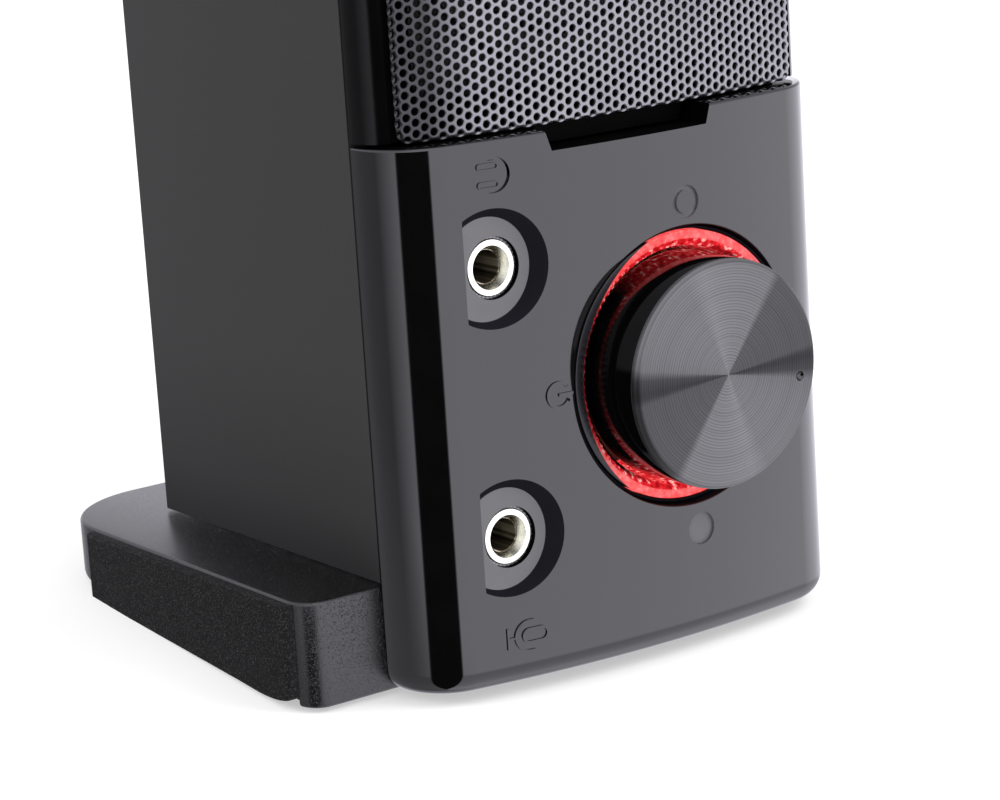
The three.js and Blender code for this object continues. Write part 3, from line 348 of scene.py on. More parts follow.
def foam_pad():
    """Dark foam rubber with fine pale and black specks."""
    material, tree, shader = new_material("speckled_foam")
    vector = object_coordinates(tree)
    specks = node(tree, "ShaderNodeTexVoronoi", {"Vector": vector, "Scale": 8.5}, feature="F1")
    pick = node(tree, "ShaderNodeSeparateColor", {"Color": specks.outputs["Color"]}).outputs[0]
    color = ramp(tree, pick, [
        (0.0, grey(0.001)), (0.5, grey(0.003)), (0.8, grey(0.009)), (0.97, grey(0.034))])
    pores = noise(tree, vector, 3.4, 5.0, 0.7)
    paint(tree, shader, color, remap(tree, pores, 0.75, 0.95), specular=0.18)
    first = bump(tree, shader, specks.outputs["Distance"], 0.04, 0.5)
    bump(tree, shader, pores, 0.05, 0.6, first)
    return material


def metal(name, color, rough, grain_mm=0.4, depth=0.003):
    """Plain metal with a slight change of tone and a fine grain."""
    material, tree, shader = new_material(name)
    vector = object_coordinates(tree)
    fine = noise(tree, vector, 1.0 / grain_mm, 3.0)
    shade = ramp(tree, noise(tree, vector, 0.3, 3.0), [(0.3, tuple(c * 0.88 for c in color)), (0.7, color)])
    paint(tree, shader, shade, remap(tree, fine, *rough), metallic=1.0)
    bump(tree, shader, fine, depth)
    return material


def spun_metal():
    """Turned cap: fine circular tool marks round the object's Z axis, with a painted fan of highlight and shade in
    its colour, like the fan of light the marks throw.
    """
    material, tree, shader = new_material("spun_cap")
    radius = axis_radius(tree)
    rings = noise_along(tree, radius, 8000.0, 1.0)
    wave = math_node(tree, "SINE", math_node(tree, "MULTIPLY", radius, 2 * math.pi / (TOOL_PITCH * MM)))
    grooves = math_node(tree, "ADD", rings, math_node(tree, "MULTIPLY", wave, 0.16))
    fine = ramp(tree, grooves, [(0.3, (0.100, 0.100, 0.101)), (0.7, (0.158, 0.158, 0.159))])
    # painted highlight and shade: lighter and darker sectors round the axis multiply the colour and turn with the
    # cap
    half_turn = math_node(tree, "FRACT", math_node(tree, "MULTIPLY", axis_turn(tree), 2.0))
    painted_fan_highlight = ramp(tree, half_turn, [
        (0.0, grey(0.20)), (0.015, grey(0.22)), (0.035, grey(0.42)), (0.28, grey(0.45)), (0.31, grey(0.88)),
        (0.58, grey(0.95)), (0.64, grey(0.74)), (0.93, grey(0.66)), (0.96, grey(0.28)), (1.0, grey(0.20))])
    paint(tree, shader, mix_colors(tree, 1.0, fine, painted_fan_highlight, "MULTIPLY"), remap(tree, grooves, 0.40, 0.48),
          metallic=1.0, anisotropic=0.9, anisotropic_rotation=0.25)
    tangent = node(tree, "ShaderNodeTangent", direction_type="RADIAL", axis="Z")
    feed(tree, shader.inputs["Tangent"], tangent.outputs["Tangent"])
    bump(tree, shader, grooves, 0.0026, 0.6)
    return material


def red_light():
    """Red light guide, lit from above and below: pinkish face, deep red ribs with painted glints, and painted
    shade down its left side.
    """
    material, tree, shader = new_material("red_light_guide")
    radius = axis_radius(tree)
    axes = object_axes(tree)

    def step(value, start, stop, low=0.0, high=1.0):
        return map_range(tree, value, start * MM, stop * MM, low, high, "SMOOTHSTEP")

    def times(a, b):
        return math_node(tree, "MULTIPLY", a, b)

    # painted shade: outside a round boundary that lies off the ring's own centre, the face stays dark and unlit
    aside = math_node(tree, "SUBTRACT", axes[0], 2.15 * MM)
    below = math_node(tree, "ADD", axes[1], 0.35 * MM)
    away = math_node(tree, "SQRT", math_node(tree, "ADD", times(aside, aside), times(below, below)))
    clear_of_painted_shade = step(away, 15.62, 15.70, 1.0, 0.0)
    upright = math_node(tree, "ABSOLUTE", axes[1])
    lamps = step(upright, 3.0, 13.0, 0.30, 1.0)
    ribbed = step(upright, 9.5, 13.0)
    on_face = step(radius, RING_EDGE - 0.03, RING_EDGE + 0.03)
    on_slope = step(radius, RING_LIP - 0.06, RING_LIP + 0.02)
    mottled = noise(tree, object_coordinates(tree), 1.4, 4.0)
    glow = ramp(tree, mottled, [
        (0.35, (0.95, 0.045, 0.045)), (0.5, (1.0, 0.09, 0.09)), (0.68, (1.0, 0.2, 0.2))])
    # painted highlight: the ribs' palest glow stands in for glints on their edges
    ribs = ramp(tree, mottled, [
        (0.38, (0.35, 0.004, 0.006)), (0.56, (0.9, 0.02, 0.03)), (0.66, (1.0, 0.55, 0.5))])
    feed(tree, shader.inputs["Emission Color"], mix_colors(tree, on_slope, ribs, glow))
    face = times(on_face, times(clear_of_painted_shade, lamps))
    slope = times(math_node(tree, "SUBTRACT", 1.0, on_face), ribbed)
    feed(tree, shader.inputs["Emission Strength"], math_node(tree, "ADD", face, slope))
    # the painted shade also keeps the ribs' base colour dark outside that boundary
    body = mix_colors(tree, times(clear_of_painted_shade, ribbed), (0.010, 0.0095, 0.012), (0.16, 0.004, 0.006))
    paint(tree, shader, body, remap(tree, mottled, 0.22, 0.3), specular=0.25)
    bump(tree, shader, mottled, 0.01)
    return material


def perforated_steel():
    """Black coated steel whose holes' lips round over and catch the light, with painted shade that darkens it
    toward its left edge.
    """
    material, tree, shader = new_material("perforated_steel")
    vector = object_coordinates(tree)
    # painted shade: the colour goes toward black near the sheet's left edge
    painted_left_shade = map_range(tree, object_axes(tree)[0], -22.3 * MM, -16.5 * MM, 0.2)
    tone = ramp(tree, noise(tree, vector, 0.2, 3.0), [
        (0.3, (0.145, 0.143, 0.152)), (0.7, (0.175, 0.173, 0.183))])
    fine = noise(tree, vector, 3.0, 3.0)
    color = mix_colors(tree, painted_left_shade, grey(0.0), tone)
    paint(tree, shader, color, remap(tree, fine, 0.24, 0.34), metallic=0.9)
    bump(tree, shader, fine, 0.006)
    return material


def circuit_board():
    """Green solder resist with paler lanes."""
    material, tree, shader = new_material("circuit_board")
    vector = object_coordinates(tree)
    lanes = node(tree, "ShaderNodeTexBrick", {
        "Vector": vector, "Scale": 0.35, "Color1": (0.012, 0.09, 0.04, 1.0),
        "Color2": (0.015, 0.12, 0.055, 1.0), "Mortar": (0.03, 0.17, 0.08, 1.0)})
    fine = noise(tree, vector, 1.5, 3.0)
    paint(tree, shader, lanes.outputs["Color"], remap(tree, fine, 0.35, 0.5))
    bump(tree, shader, fine, 0.02)
    return material


def woven_cloth(name, color):
    """Resin-stiffened cloth of the driver's spider."""
    material, tree, shader = new_material(name)
    axes = node(tree, "ShaderNodeSeparateXYZ", {"Vector": object_coordinates(tree)}).outputs
    warp, weft = (math_node(tree, "SINE", math_node(tree, "MULTIPLY", axes[k], 9.0)) for k in (0, 2))
    weave = math_node(tree, "MULTIPLY", warp, weft)
    height = remap(tree, weave, 0.0, 1.0)
    tone = ramp(tree, height, [(0.2, tuple(c * 0.6 for c in color)), (0.8, color)])
    paint(tree, shader, tone, remap(tree, weave, 0.75, 0.95))
    bump(tree, shader, height, 0.05)
    return material


def pulp(name):
    """Pressed paper pulp of the cone."""
    material, tree, shader = new_material(name)
    fibre = noise(tree, object_coordinates(tree), 1.8, 6.0, 0.7)
    tone = ramp(tree, fibre, [(0.3, grey(0.008)), (0.7, grey(0.022))])
    paint(tree, shader, tone, remap(tree, fibre, 0.75, 0.95))
    bump(tree, shader, fibre, 0.08)
    return material


GLOSS = gloss_black("gloss_black_moulding", 0.0022, (0.035, 0.06))
KNOB_GLOSS = gloss_black("gloss_black_knob", 0.001, (0.04, 0.07))
PALE_FLOOR = plastic("satin_pocket_floor", (0.112, 0.110, 0.118), (0.128, 0.125, 0.134), (0.45, 0.6),
                     0.5, 0.004, 0.3)
POCKET_WALL = plastic("matt_pocket_wall", (0.0085, 0.008, 0.011), (0.0105, 0.010, 0.0135), (0.75, 0.9),
                      0.5, 0.004, 0.02)
SATIN = satin_with_painted_shade()
INNER_SATIN = plastic("inner_black_moulding", grey(0.0005), grey(0.0012), (0.5, 0.62), 0.35, 0.03, 0.02)
FRAME_BLACK = plastic("frame_black_moulding", grey(0.0010), grey(0.0018), (0.12, 0.2), 0.4, 0.004, 0.14)
GRAINED = leather_plastic()
FOAM = foam_pad()
SPUN = spun_metal()
NICKEL = metal("bright_nickel", (0.66, 0.655, 0.57), (0.22, 0.32))
KNURL = metal("knurled_collar", (0.16, 0.16, 0.165), (0.35, 0.5))
CONTACT = streaked_brass()
RED = red_light()
GRILLE = perforated_steel()
BY_SLOT = {
    "satin_black": SATIN,
    "gloss_black": GLOSS,
    "grille_steel": GRILLE,
    "grained_black": GRAINED,
    "pad_rubber": FOAM,
    "spun_aluminium": SPUN,
    "nickel": NICKEL,
    "red_lens": RED,
    "board_green": circuit_board(),
    "steel": metal("zinc_plate", (0.55, 0.55, 0.57), (0.3, 0.42)),
    "ferrite": plastic("ferrite", grey(0.02), grey(0.035), (0.7, 0.85), 0.5, 0.05, 0.3),
    "paper_cone": pulp("pressed_pulp"),
    "roll_rubber": plastic("butyl_rubber", grey(0.010), grey(0.018), (0.55, 0.7), 0.5, 0.02, 0.35),
    "amber_cloth": woven_cloth("impregnated_cloth", (0.42, 0.22, 0.06)),
    "copper": metal("copper_winding", (0.72, 0.38, 0.2), (0.3, 0.45), 0.3, 0.02),
    "sleeve_blue": plastic("shrink_sleeve", (0.01, 0.02, 0.09), (0.015, 0.03, 0.13), (0.22, 0.32),
                           0.6, 0.004),
    "chip_black": plastic("moulded_connector", grey(0.010), grey(0.018), (0.4, 0.55), 0.3, 0.02),
    "fin_aluminium": metal("extruded_aluminium", (0.72, 0.73, 0.75), (0.35, 0.5), 0.5, 0.01),
    "led_white": plastic("lamp_moulding", (0.75, 0.6, 0.58), (0.85, 0.7, 0.68), (0.3, 0.4), 0.5, 0.004),
}


# ---------------------------------------------------------------- mesh helpers
def linked(name, data):
    """New object of this data in the scene."""
    made = bpy.data.objects.new(name, data)
    bpy.context.scene.collection.objects.link(made)
    return made


def mesh_object(name, points, faces, material, matrix=CABINET):
    """Points in millimetres, in the frame that matrix places."""
    mesh = bpy.data.meshes.new(name)
    mesh.from_pydata([tuple(c * MM for c in p) for p in points], [], faces)
    made = linked(name, mesh)
    made.matrix_world = matrix
    mesh.materials.append(material)
    tidy(made)
    return made


def tidy(made):
    """Merges doubles and faces every side out."""
    work = bmesh.new()
    work.from_mesh(made.data)
    bmesh.ops.remove_doubles(work, verts=work.verts, dist=0.002 * MM)
    bmesh.ops.recalc_face_normals(work, faces=work.faces)
    work.to_mesh(made.data)
    work.free()
    made.data.update()


def smooth(made, angle=32.0):
    made.data.shade_smooth()
    made.data.set_sharp_from_angle(angle=math.radians(angle))
    return made


def true_bow(made, setback):
    """Gives the faces on the bowed front the bow's own normals, so that reflections in it run clean."""
    data = made.data
    centre = Vector((BOW_CREST_X * MM, (setback + BOW_RADIUS) * MM, 0.0))
    normals = [corner.vector.copy() for corner in data.corner_normals]
    tolerance = 0.004 * MM
    for face in data.polygons:
        spots = [data.vertices[v].co for v in face.vertices]
        rays = [Vector((spot.x - centre.x, spot.y - centre.y, 0.0)) for spot in spots]
        if all(abs(ray.length - BOW_RADIUS * MM) < tolerance for ray in rays) and abs(face.normal.z) < 0.2:
            for loop, ray in zip(face.loop_indices, rays):
                normals[loop] = ray.normalized()
    data.normals_split_custom_set(normals)
    return made


def applied(made):
    """Replaces the object's mesh with its evaluated one."""
    bpy.context.view_layer.update()
    graph = bpy.context.evaluated_depsgraph_get()
    final = bpy.data.meshes.new_from_object(made.evaluated_get(graph), depsgraph=graph)
    made.modifiers.clear()
    made.data = final
    return made


def cut(made, cutters, operation="DIFFERENCE"):
    for cutter in cutters:
        modifier = made.modifiers.new("cut", "BOOLEAN")
        modifier.operation = operation
        modifier.solver = "EXACT"
        modifier.object = cutter
        modifier.material_mode = "TRANSFER"
        applied(made)
        bpy.data.objects.remove(cutter)
    return made


def bevel(made, width):
    modifier = made.modifiers.new("bevel", "BEVEL")
    modifier.width = width * MM
    modifier.segments = 3
    modifier.limit_method = "ANGLE"
    modifier.angle_limit = math.radians(40.0)
    modifier.harden_normals = False
    return applied(made)


def tube_faces(rings, count, closed_rings=False):
    """Quads between successive rings of count points; closed rings join the last ring to the first."""
    faces = []
    last = rings if closed_rings else rings - 1
    for k in range(last):
        low, high = k * count, ((k + 1) % rings) * count
        for i in range(count):
            j = (i + 1) % count
            faces.append((low + i, low + j, high + j, high + i))
    return faces


def stack(name, layers, material, matrix=CABINET):
    """Closed solid through layers of points; every layer has as many points as the others."""
    count = len(layers[0])
    points = [p for layer in layers for p in layer]
    faces = tube_faces(len(layers), count)
    faces.append(tuple(reversed(range(count))))
    faces.append(tuple(range((len(layers) - 1) * count, len(layers) * count)))
    return mesh_object(name, points, faces, material, matrix)


def lathe(name, profile, material, matrix, steps=160, wobble=None):
    """Closed loop of (radius, height) turned about local Z. Radii of 0 close on the axis."""
    points = []
    for s in range(steps):
        angle = 2 * math.pi * s / steps
        for radius, height in profile:
            if wobble is not None:
                radius, height = wobble(radius, height, s)
            points.append((radius * math.cos(angle), radius * math.sin(angle), height))
    return mesh_object(name, points, tube_faces(steps, len(profile), True), material, matrix)


def fillet(profile, radii, steps=5):
    """Rounds the corners of a closed (radius, height) loop."""
    out = []
    count = len(profile)
    for i, (point, radius) in enumerate(zip(profile, radii)):
        p = Vector(point)
        a = Vector(profile[i - 1]) - p
        b = Vector(profile[(i + 1) % count]) - p
        if radius <= 0 or a.length < 1e-6 or b.length < 1e-6:
            out.append(tuple(p))
            continue
        half = a.angle(b) / 2
        reach = min(radius / math.tan(half), a.length * 0.49, b.length * 0.49)
        start, stop = p + a.normalized() * reach, p + b.normalized() * reach
        for k in range(steps + 1):
            t = k / steps
            q = start * (1 - t) ** 2 + p * 2 * t * (1 - t) + stop * t ** 2
            out.append(tuple(q))
    return out


def block(name, x0, x1, y0, y1, z0, z1, material):
    return stack(name, [[(x0, y0, z), (x1, y0, z), (x1, y1, z), (x0, y1, z)] for z in (z0, z1)], material)


def slab(name, outline, y0, y1, material):
    """Outline of (x, z) pushed along Y."""
    return stack(name, [[(x, y, z) for x, z in outline] for y in (y0, y1)], material)


def circle_xy(x, y, radius, steps):
    turns = [2 * math.pi * s / steps for s in range(steps)]
    return [(x + radius * math.cos(t), y + radius * math.sin(t)) for t in turns]


def round_bar(name, x, y, radius, z0, z1, steps, material):
    """Round bar along Z."""
    ring = circle_xy(x, y, radius, steps)
    return stack(name, [[(px, py, z) for px, py in ring] for z in (z0, z1)], material)


def rounded_rect(x0, x1, z0, z1, radius, steps=8):
    outline = []
    for cx, cz, start in ((x1 - radius, z0 + radius, -90), (x1 - radius, z1 - radius, 0),
                          (x0 + radius, z1 - radius, 90), (x0 + radius, z0 + radius, 180)):
        for k in range(steps + 1):
            t = math.radians(start + 90 * k / steps)
            outline.append((cx + radius * math.cos(t), cz + radius * math.sin(t)))
    return outline


def place(made, body, slot_name, *nodes):
    """Hides the CAD nodes that the piece replaces and attaches it to the body it rides on; slot_name is not used.
    """
    if nodes:
        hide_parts(*nodes)
    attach(made, body)
    return made


# ---------------------------------------------------------------- bowed front section
def section(setback, corner, inset, back_y, arc_steps=44, bow_steps=96):
    """Cross-section of the front, from left rear to right rear: two round corners and the bow between."""
    side, bow, arc = HALF_WIDTH - inset, BOW_RADIUS - inset, corner - inset
    centre_x = HALF_WIDTH - corner
    bow_y = setback + BOW_RADIUS
    heights = [bow_y - math.sqrt((BOW_RADIUS - corner) ** 2 - (x - BOW_CREST_X) ** 2)
               for x in (-centre_x, centre_x)]
    left = math.atan2(heights[0] - bow_y, -centre_x - BOW_CREST_X)
    right = math.atan2(heights[1] - bow_y, centre_x - BOW_CREST_X)
    points = [(-side, back_y)]
    for i in range(arc_steps):
        t = -math.pi + (left + math.pi) * i / arc_steps
        points.append((-centre_x + arc * math.cos(t), heights[0] + arc * math.sin(t)))
    for i in range(bow_steps):
        t = left + (right - left) * i / bow_steps
        points.append((BOW_CREST_X + bow * math.cos(t), bow_y + bow * math.sin(t)))
    for i in range(arc_steps + 1):
        t = right - right * i / arc_steps
        points.append((centre_x + arc * math.cos(t), heights[1] + arc * math.sin(t)))
    points.append((side, back_y))
    return points


def front_solid(name, setback, corner, inset, back_y, z0, z1, low, high, material, steps=9):
    """Solid of the front section from z0 to z1, rounded over by low at its foot and by high at its top."""
    layers = []
    for i in range(steps + 1 if low else 1):
        t = math.pi / 2 * i / steps
        extra = inset + (low * (1 - math.sin(t)) if low else 0)
        z = z0 + (low * (1 - math.cos(t)) if low else 0)
        layers.append([(x, y, z) for x, y in section(setback, corner, extra, back_y)])
    for i in range(steps + 1 if high else 1):
        t = math.pi / 2 * i / steps
        extra = inset + (high * (1 - math.cos(t)) if high else 0)
        z = z1 - (high * (1 - math.sin(t)) if high else 0)
        layers.append([(x, y, z) for x, y in section(setback, corner, extra, back_y)])
    return stack(name, layers, material)


PANEL_LINE = section(0.0, PANEL_CORNER, 0.0, SEAM_Y, 60, 120)


def panel_y(x):
    """Y of the control panel's front surface at one x."""
    for (x0, y0), (x1, y1) in zip(PANEL_LINE[1:], PANEL_LINE[2:]):
        if x0 <= x <= x1 and x1 > x0:
            return y0 + (y1 - y0) * (x - x0) / (x1 - x0)
    return SEAM_Y


# ---------------------------------------------------------------- control panel
def recess_cutter():
    """Round recess behind the knob, with a slightly rounded lip and dark walls."""
    lip = 0.12
    rounds = [(RECESS_RADIUS + lip, -3.0)]
    rounds += [(RECESS_RADIUS + lip * (1 - math.sin(a)), lip * (1 - math.cos(a)))
               for a in [math.pi / 2 * k / 5 for k in range(6)]]
    layers = [circle_at(KNOB_X, KNOB_Z, radius, lambda x, depth=depth: panel_y(x) + depth, 192)
              for radius, depth in rounds]
    layers.append([(x, 12.0, z) for x, _, z in layers[-1]])
    made = stack("recess_cutter", layers, GLOSS)
    made.data.materials.append(POCKET_WALL)
    for face in made.data.polygons:
        if max(made.data.vertices[v].co.y for v in face.vertices) > 11.0 * MM:
            face.material_index = 1
    return made


def circle_at(x, z, radius, y, steps=128):
    """Circle in the (x, z) plane; y is a number or a function of x."""
    ring = []
    for s in range(steps):
        t = 2 * math.pi * s / steps
        px = x + radius * math.cos(t)
        ring.append((px, y(px) if callable(y) else y, z + radius * math.sin(t)))
    return ring


def pocket_cutter(jack_z):
    """Sloping round pocket of a socket, with dark walls and a pale flat floor."""
    lip = 0.07

    def below(depth):
        return lambda x: min(panel_y(x) + depth, POCKET_FLOOR_Y - 0.003)

    layers = [
        circle_at(POCKET_RIM_X, jack_z, POCKET_RIM_RADIUS + lip, -4.0),
        circle_at(POCKET_RIM_X, jack_z, POCKET_RIM_RADIUS + lip, below(0.0)),
        circle_at(POCKET_RIM_X, jack_z, POCKET_RIM_RADIUS, below(lip)),
        circle_at(POCKET_FLOOR_X, jack_z, POCKET_FLOOR_RADIUS, POCKET_FLOOR_Y),
    ]
    made = stack("pocket_cutter", layers, POCKET_WALL)
    made.data.materials.append(PALE_FLOOR)
    for face in made.data.polygons:
        if all(abs(made.data.vertices[v].co.y / MM - POCKET_FLOOR_Y) < 0.001 for v in face.vertices):
            face.material_index = 1
    return made


def stroke(name, line, width, depth, rise=0.5, closed=False):
    """Line of one width that follows the bowed panel, from rise in front of it to depth behind it."""
    count = len(line)
    points = []
    crown = 0.85 if rise < 0.3 else 1.0
    for i, (x, z) in enumerate(line):
        before = line[i - 1] if (closed or i > 0) else line[i]
        after = line[(i + 1) % count] if (closed or i < count - 1) else line[i]
        along = Vector((after[0] - before[0], after[1] - before[1])).normalized()
        side = Vector((-along.y, along.x)) * width / 2
        for part, offset in ((crown, -rise), (-crown, -rise), (-1.0, depth), (1.0, depth)):
            points.append((x + side.x * part, panel_y(x) + offset, z + side.y * part))
    faces = tube_faces(count, 4, closed)
    if not closed:
        base = (count - 1) * 4
        faces += [(3, 2, 1, 0), (base, base + 1, base + 2, base + 3)]
    return mesh_object(name, points, faces, GLOSS)


def sunk_disc(name, z, depth, inner=0.0):
    """Round sinking with a pale floor; with an inner radius it is a ring round a pad that stays."""
    def level(radius, offset):
        return circle_at(DISC_ICON_X, z, radius, lambda x: panel_y(x) + offset, 64)

    layers = [level(DISC_ICON_RADIUS, -0.5), level(DISC_ICON_RADIUS, depth)]
    if not inner:
        return stack(name, layers, PALE_FLOOR)
    layers += [level(inner, depth), level(inner, -0.5)]
    points = [p for layer in layers for p in layer]
    return mesh_object(name, points, tube_faces(4, 64, True), PALE_FLOOR)


def arc(x, z, radius, start, stop, steps=28):
    turns = [math.radians(start + (stop - start) * k / steps) for k in range(steps + 1)]
    return [(x + radius * math.cos(t), z + radius * math.sin(t)) for t in turns]


def engraved_icons():
    """Symbols that are sunk into the panel: the headphone's band and the two discs."""
    x, z = HEADPHONE_ICON
    band = [(x - 0.6, z - 1.7)] + arc(x, z, 1.7, -90, 90) + [(x - 0.6, z + 1.7)]
    return [
        stroke("headphone_band", band, 0.34, 0.24),
        sunk_disc("ring_mark", KNOB_Z + RING_ICON_UP, 0.32, 1.25),
        sunk_disc("disc_mark", KNOB_Z - DISC_ICON_DOWN, 0.3),
    ]


def raised_icons():
    """Symbols that stand up from the panel: the headphone's ears, the microphone and the power mark."""
    def raised(name, line, width, closed=False):
        return stroke(name, line, width, ICON_ROOT, ICON_RISE, closed)

    def pill(left, right, z, radius, right_first, steps):
        ends = [arc(left, z, radius, 90, 270, steps), arc(right, z, radius, -90, 90, steps)]
        return ends[1] + ends[0] if right_first else ends[0] + ends[1]

    x, z = HEADPHONE_ICON
    made = [raised("headphone_ear", pill(x - 1.6, x + 0.1, z + side * 0.95, 0.3, False, 12), 0.16, True)
            for side in (-1, 1)]
    x, z = MICROPHONE_ICON
    cradle = [(x + 0.6, z + 1.66)] + arc(x, z, 1.66, 90, 270) + [(x + 0.6, z - 1.66)]
    made += [
        raised("microphone_foot", [(x - 2.55, z - 1.15), (x - 2.55, z + 1.15)], 0.26),
        raised("microphone_stem", [(x - 2.5, z), (x - 1.7, z)], 0.26),
        raised("microphone_cradle", cradle, 0.26),
        raised("microphone_capsule", pill(x - 0.05, x + 1.42, z, 0.72, True, 14), 0.26, True),
    ]
    x, z = POWER_ICON
    made += [
        raised("power_ring", arc(x, z, 1.33, 38, 335), 0.36),
        raised("power_bar", [(x, z), (x + 1.0, z), (x + 2.1, z)], 0.36),
    ]
    return made


def control_panel():
    back = SEAM_Y - BODY_CLEARANCE
    body = front_solid("control_panel_moulding", 0.0, PANEL_CORNER, 0.0, back, 0.0, PANEL_TOP,
                       PANEL_BOTTOM_ROUND, PANEL_TOP_ROUND, GLOSS)
    cut(body, [front_solid("inner", 0.0, PANEL_CORNER, PANEL_WALL, SEAM_Y + 2.0, PANEL_BOTTOM_ROUND,
                           PANEL_CEILING, 0, 0, INNER_SATIN)])
    for side in (1, -1):
        jack_z = KNOB_Z + side * JACK_SPACING
        outline = rounded_rect(JACK_X - 7, JACK_X + 7, jack_z - 7, jack_z + 7, 3)
        boss = slab("boss", outline, POCKET_FLOOR_Y - 0.6, 5.0, INNER_SATIN)
        limit = front_solid("limit", 0.0, PANEL_CORNER, 0.3, SEAM_Y, 0.0, PANEL_TOP, 0, 0, INNER_SATIN)
        cut(boss, [limit], "INTERSECT")
        cut(body, [boss], "UNION")
        ends = [circle_at(JACK_X, jack_z, JACK_RADIUS + 0.3, y, 64) for y in (-2.0, 9.0)]
        hole = stack("hole", ends, INNER_SATIN)
        cut(body, [pocket_cutter(jack_z), hole])
    outline = [(-NOTCH_HALF_FLOOR, NOTCH_FLOOR), (NOTCH_HALF_FLOOR, NOTCH_FLOOR),
               (NOTCH_HALF_TOP, PANEL_TOP + 1), (-NOTCH_HALF_TOP, PANEL_TOP + 1)]
    cut(body, [slab("notch", outline, -3.0, 7.0, INNER_SATIN)])
    cut(body, engraved_icons())
    cut(body, raised_icons(), "UNION")
    cut(body, [recess_cutter()])
    true_bow(smooth(body, 24.0), 0.0)
    return place(body, "speaker", "gloss_black", "control_panel")


# ---------------------------------------------------------------- grille frame and mesh
def grille_frame():
    def front(name, inset, back_y, z0, z1, high, material):
        return front_solid(name, FRAME_SETBACK, FRAME_CORNER, inset, back_y, z0, z1, 0, high, material)

    body = front("grille_frame_moulding", 0.0, SEAM_Y - BODY_CLEARANCE, FRAME_BOTTOM, FRAME_TOP,
                 FRAME_TOP_ROUND, FRAME_BLACK)
    cut(body, [front("inner", FRAME_WALL, SEAM_Y + 2.0, FRAME_BOTTOM + 3.0, FRAME_TOP - 3.4, 0, INNER_SATIN)])
    outline = rounded_rect(-MESH_HALF - 0.3, MESH_HALF + 0.3, MESH_BOTTOM - 5.0, MESH_TOP + 0.3, MESH_CORNER)
    rebate = slab("rebate", outline, -5.0, SEAM_Y, INNER_SATIN)
    cut(rebate, [front("floor", 0.8, SEAM_Y + 2.0, FRAME_BOTTOM - 9.0, FRAME_TOP + 5.0, 0, INNER_SATIN)])
    cut(body, [rebate])
    outline = rounded_rect(-WINDOW_HALF, WINDOW_HALF, FRAME_BOTTOM + 3.0, FRAME_TOP - 5.5, 3.0)
    cut(body, [slab("window", outline, -5.0, SEAM_Y, INNER_SATIN)])
    foot, top = NOTCH_HALF_FLOOR - 0.6, NOTCH_HALF_FLOOR - 0.2
    outline = [(-foot, NOTCH_FLOOR + 0.3), (foot, NOTCH_FLOOR + 0.3), (top, FRAME_BOTTOM + 0.5),
               (-top, FRAME_BOTTOM + 0.5)]
    cut(body, [slab("tongue", outline, FRAME_SETBACK + 1.2, FRAME_SETBACK + 3.4, INNER_SATIN)], "UNION")
    smooth(body, 24.0)
    return place(body, "speaker", "gloss_black", "grille_frame")


def arc_length_table(outline):
    """Distance along the outline at each of its points."""
    lengths = [0.0]
    for (x0, y0), (x1, y1) in zip(outline, outline[1:]):
        lengths.append(lengths[-1] + math.hypot(x1 - x0, y1 - y0))
    return lengths


class Wrap:
    """Maps a distance along the grille's bowed section, and a depth behind its front, to x and y."""

    def __init__(self, inset):
        self.line = section(FRAME_SETBACK, FRAME_CORNER, inset, SEAM_Y, 60, 140)[1:-1]
        self.length = arc_length_table(self.line)
        crest = min(range(len(self.line)), key=lambda i: abs(self.line[i][0]))
        self.zero = self.length[crest]

    def along(self, x):
        for i in range(len(self.line) - 1):
            if self.line[i][0] <= x <= self.line[i + 1][0]:
                return self.length[i] - self.zero
        return self.length[-1] - self.zero

    def at(self, distance, depth):
        goal = distance + self.zero
        low, high = 0, len(self.length) - 2
        while low < high:
            middle = (low + high + 1) // 2
            if self.length[middle] <= goal:
                low = middle
            else:
                high = middle - 1
        (x0, y0), (x1, y1) = self.line[low], self.line[low + 1]
        step = self.length[low + 1] - self.length[low]
        t = (goal - self.length[low]) / step
        nx, ny = (y1 - y0) / step, -(x1 - x0) / step
        return x0 + (x1 - x0) * t - nx * depth, y0 + (y1 - y0) * t - ny * depth


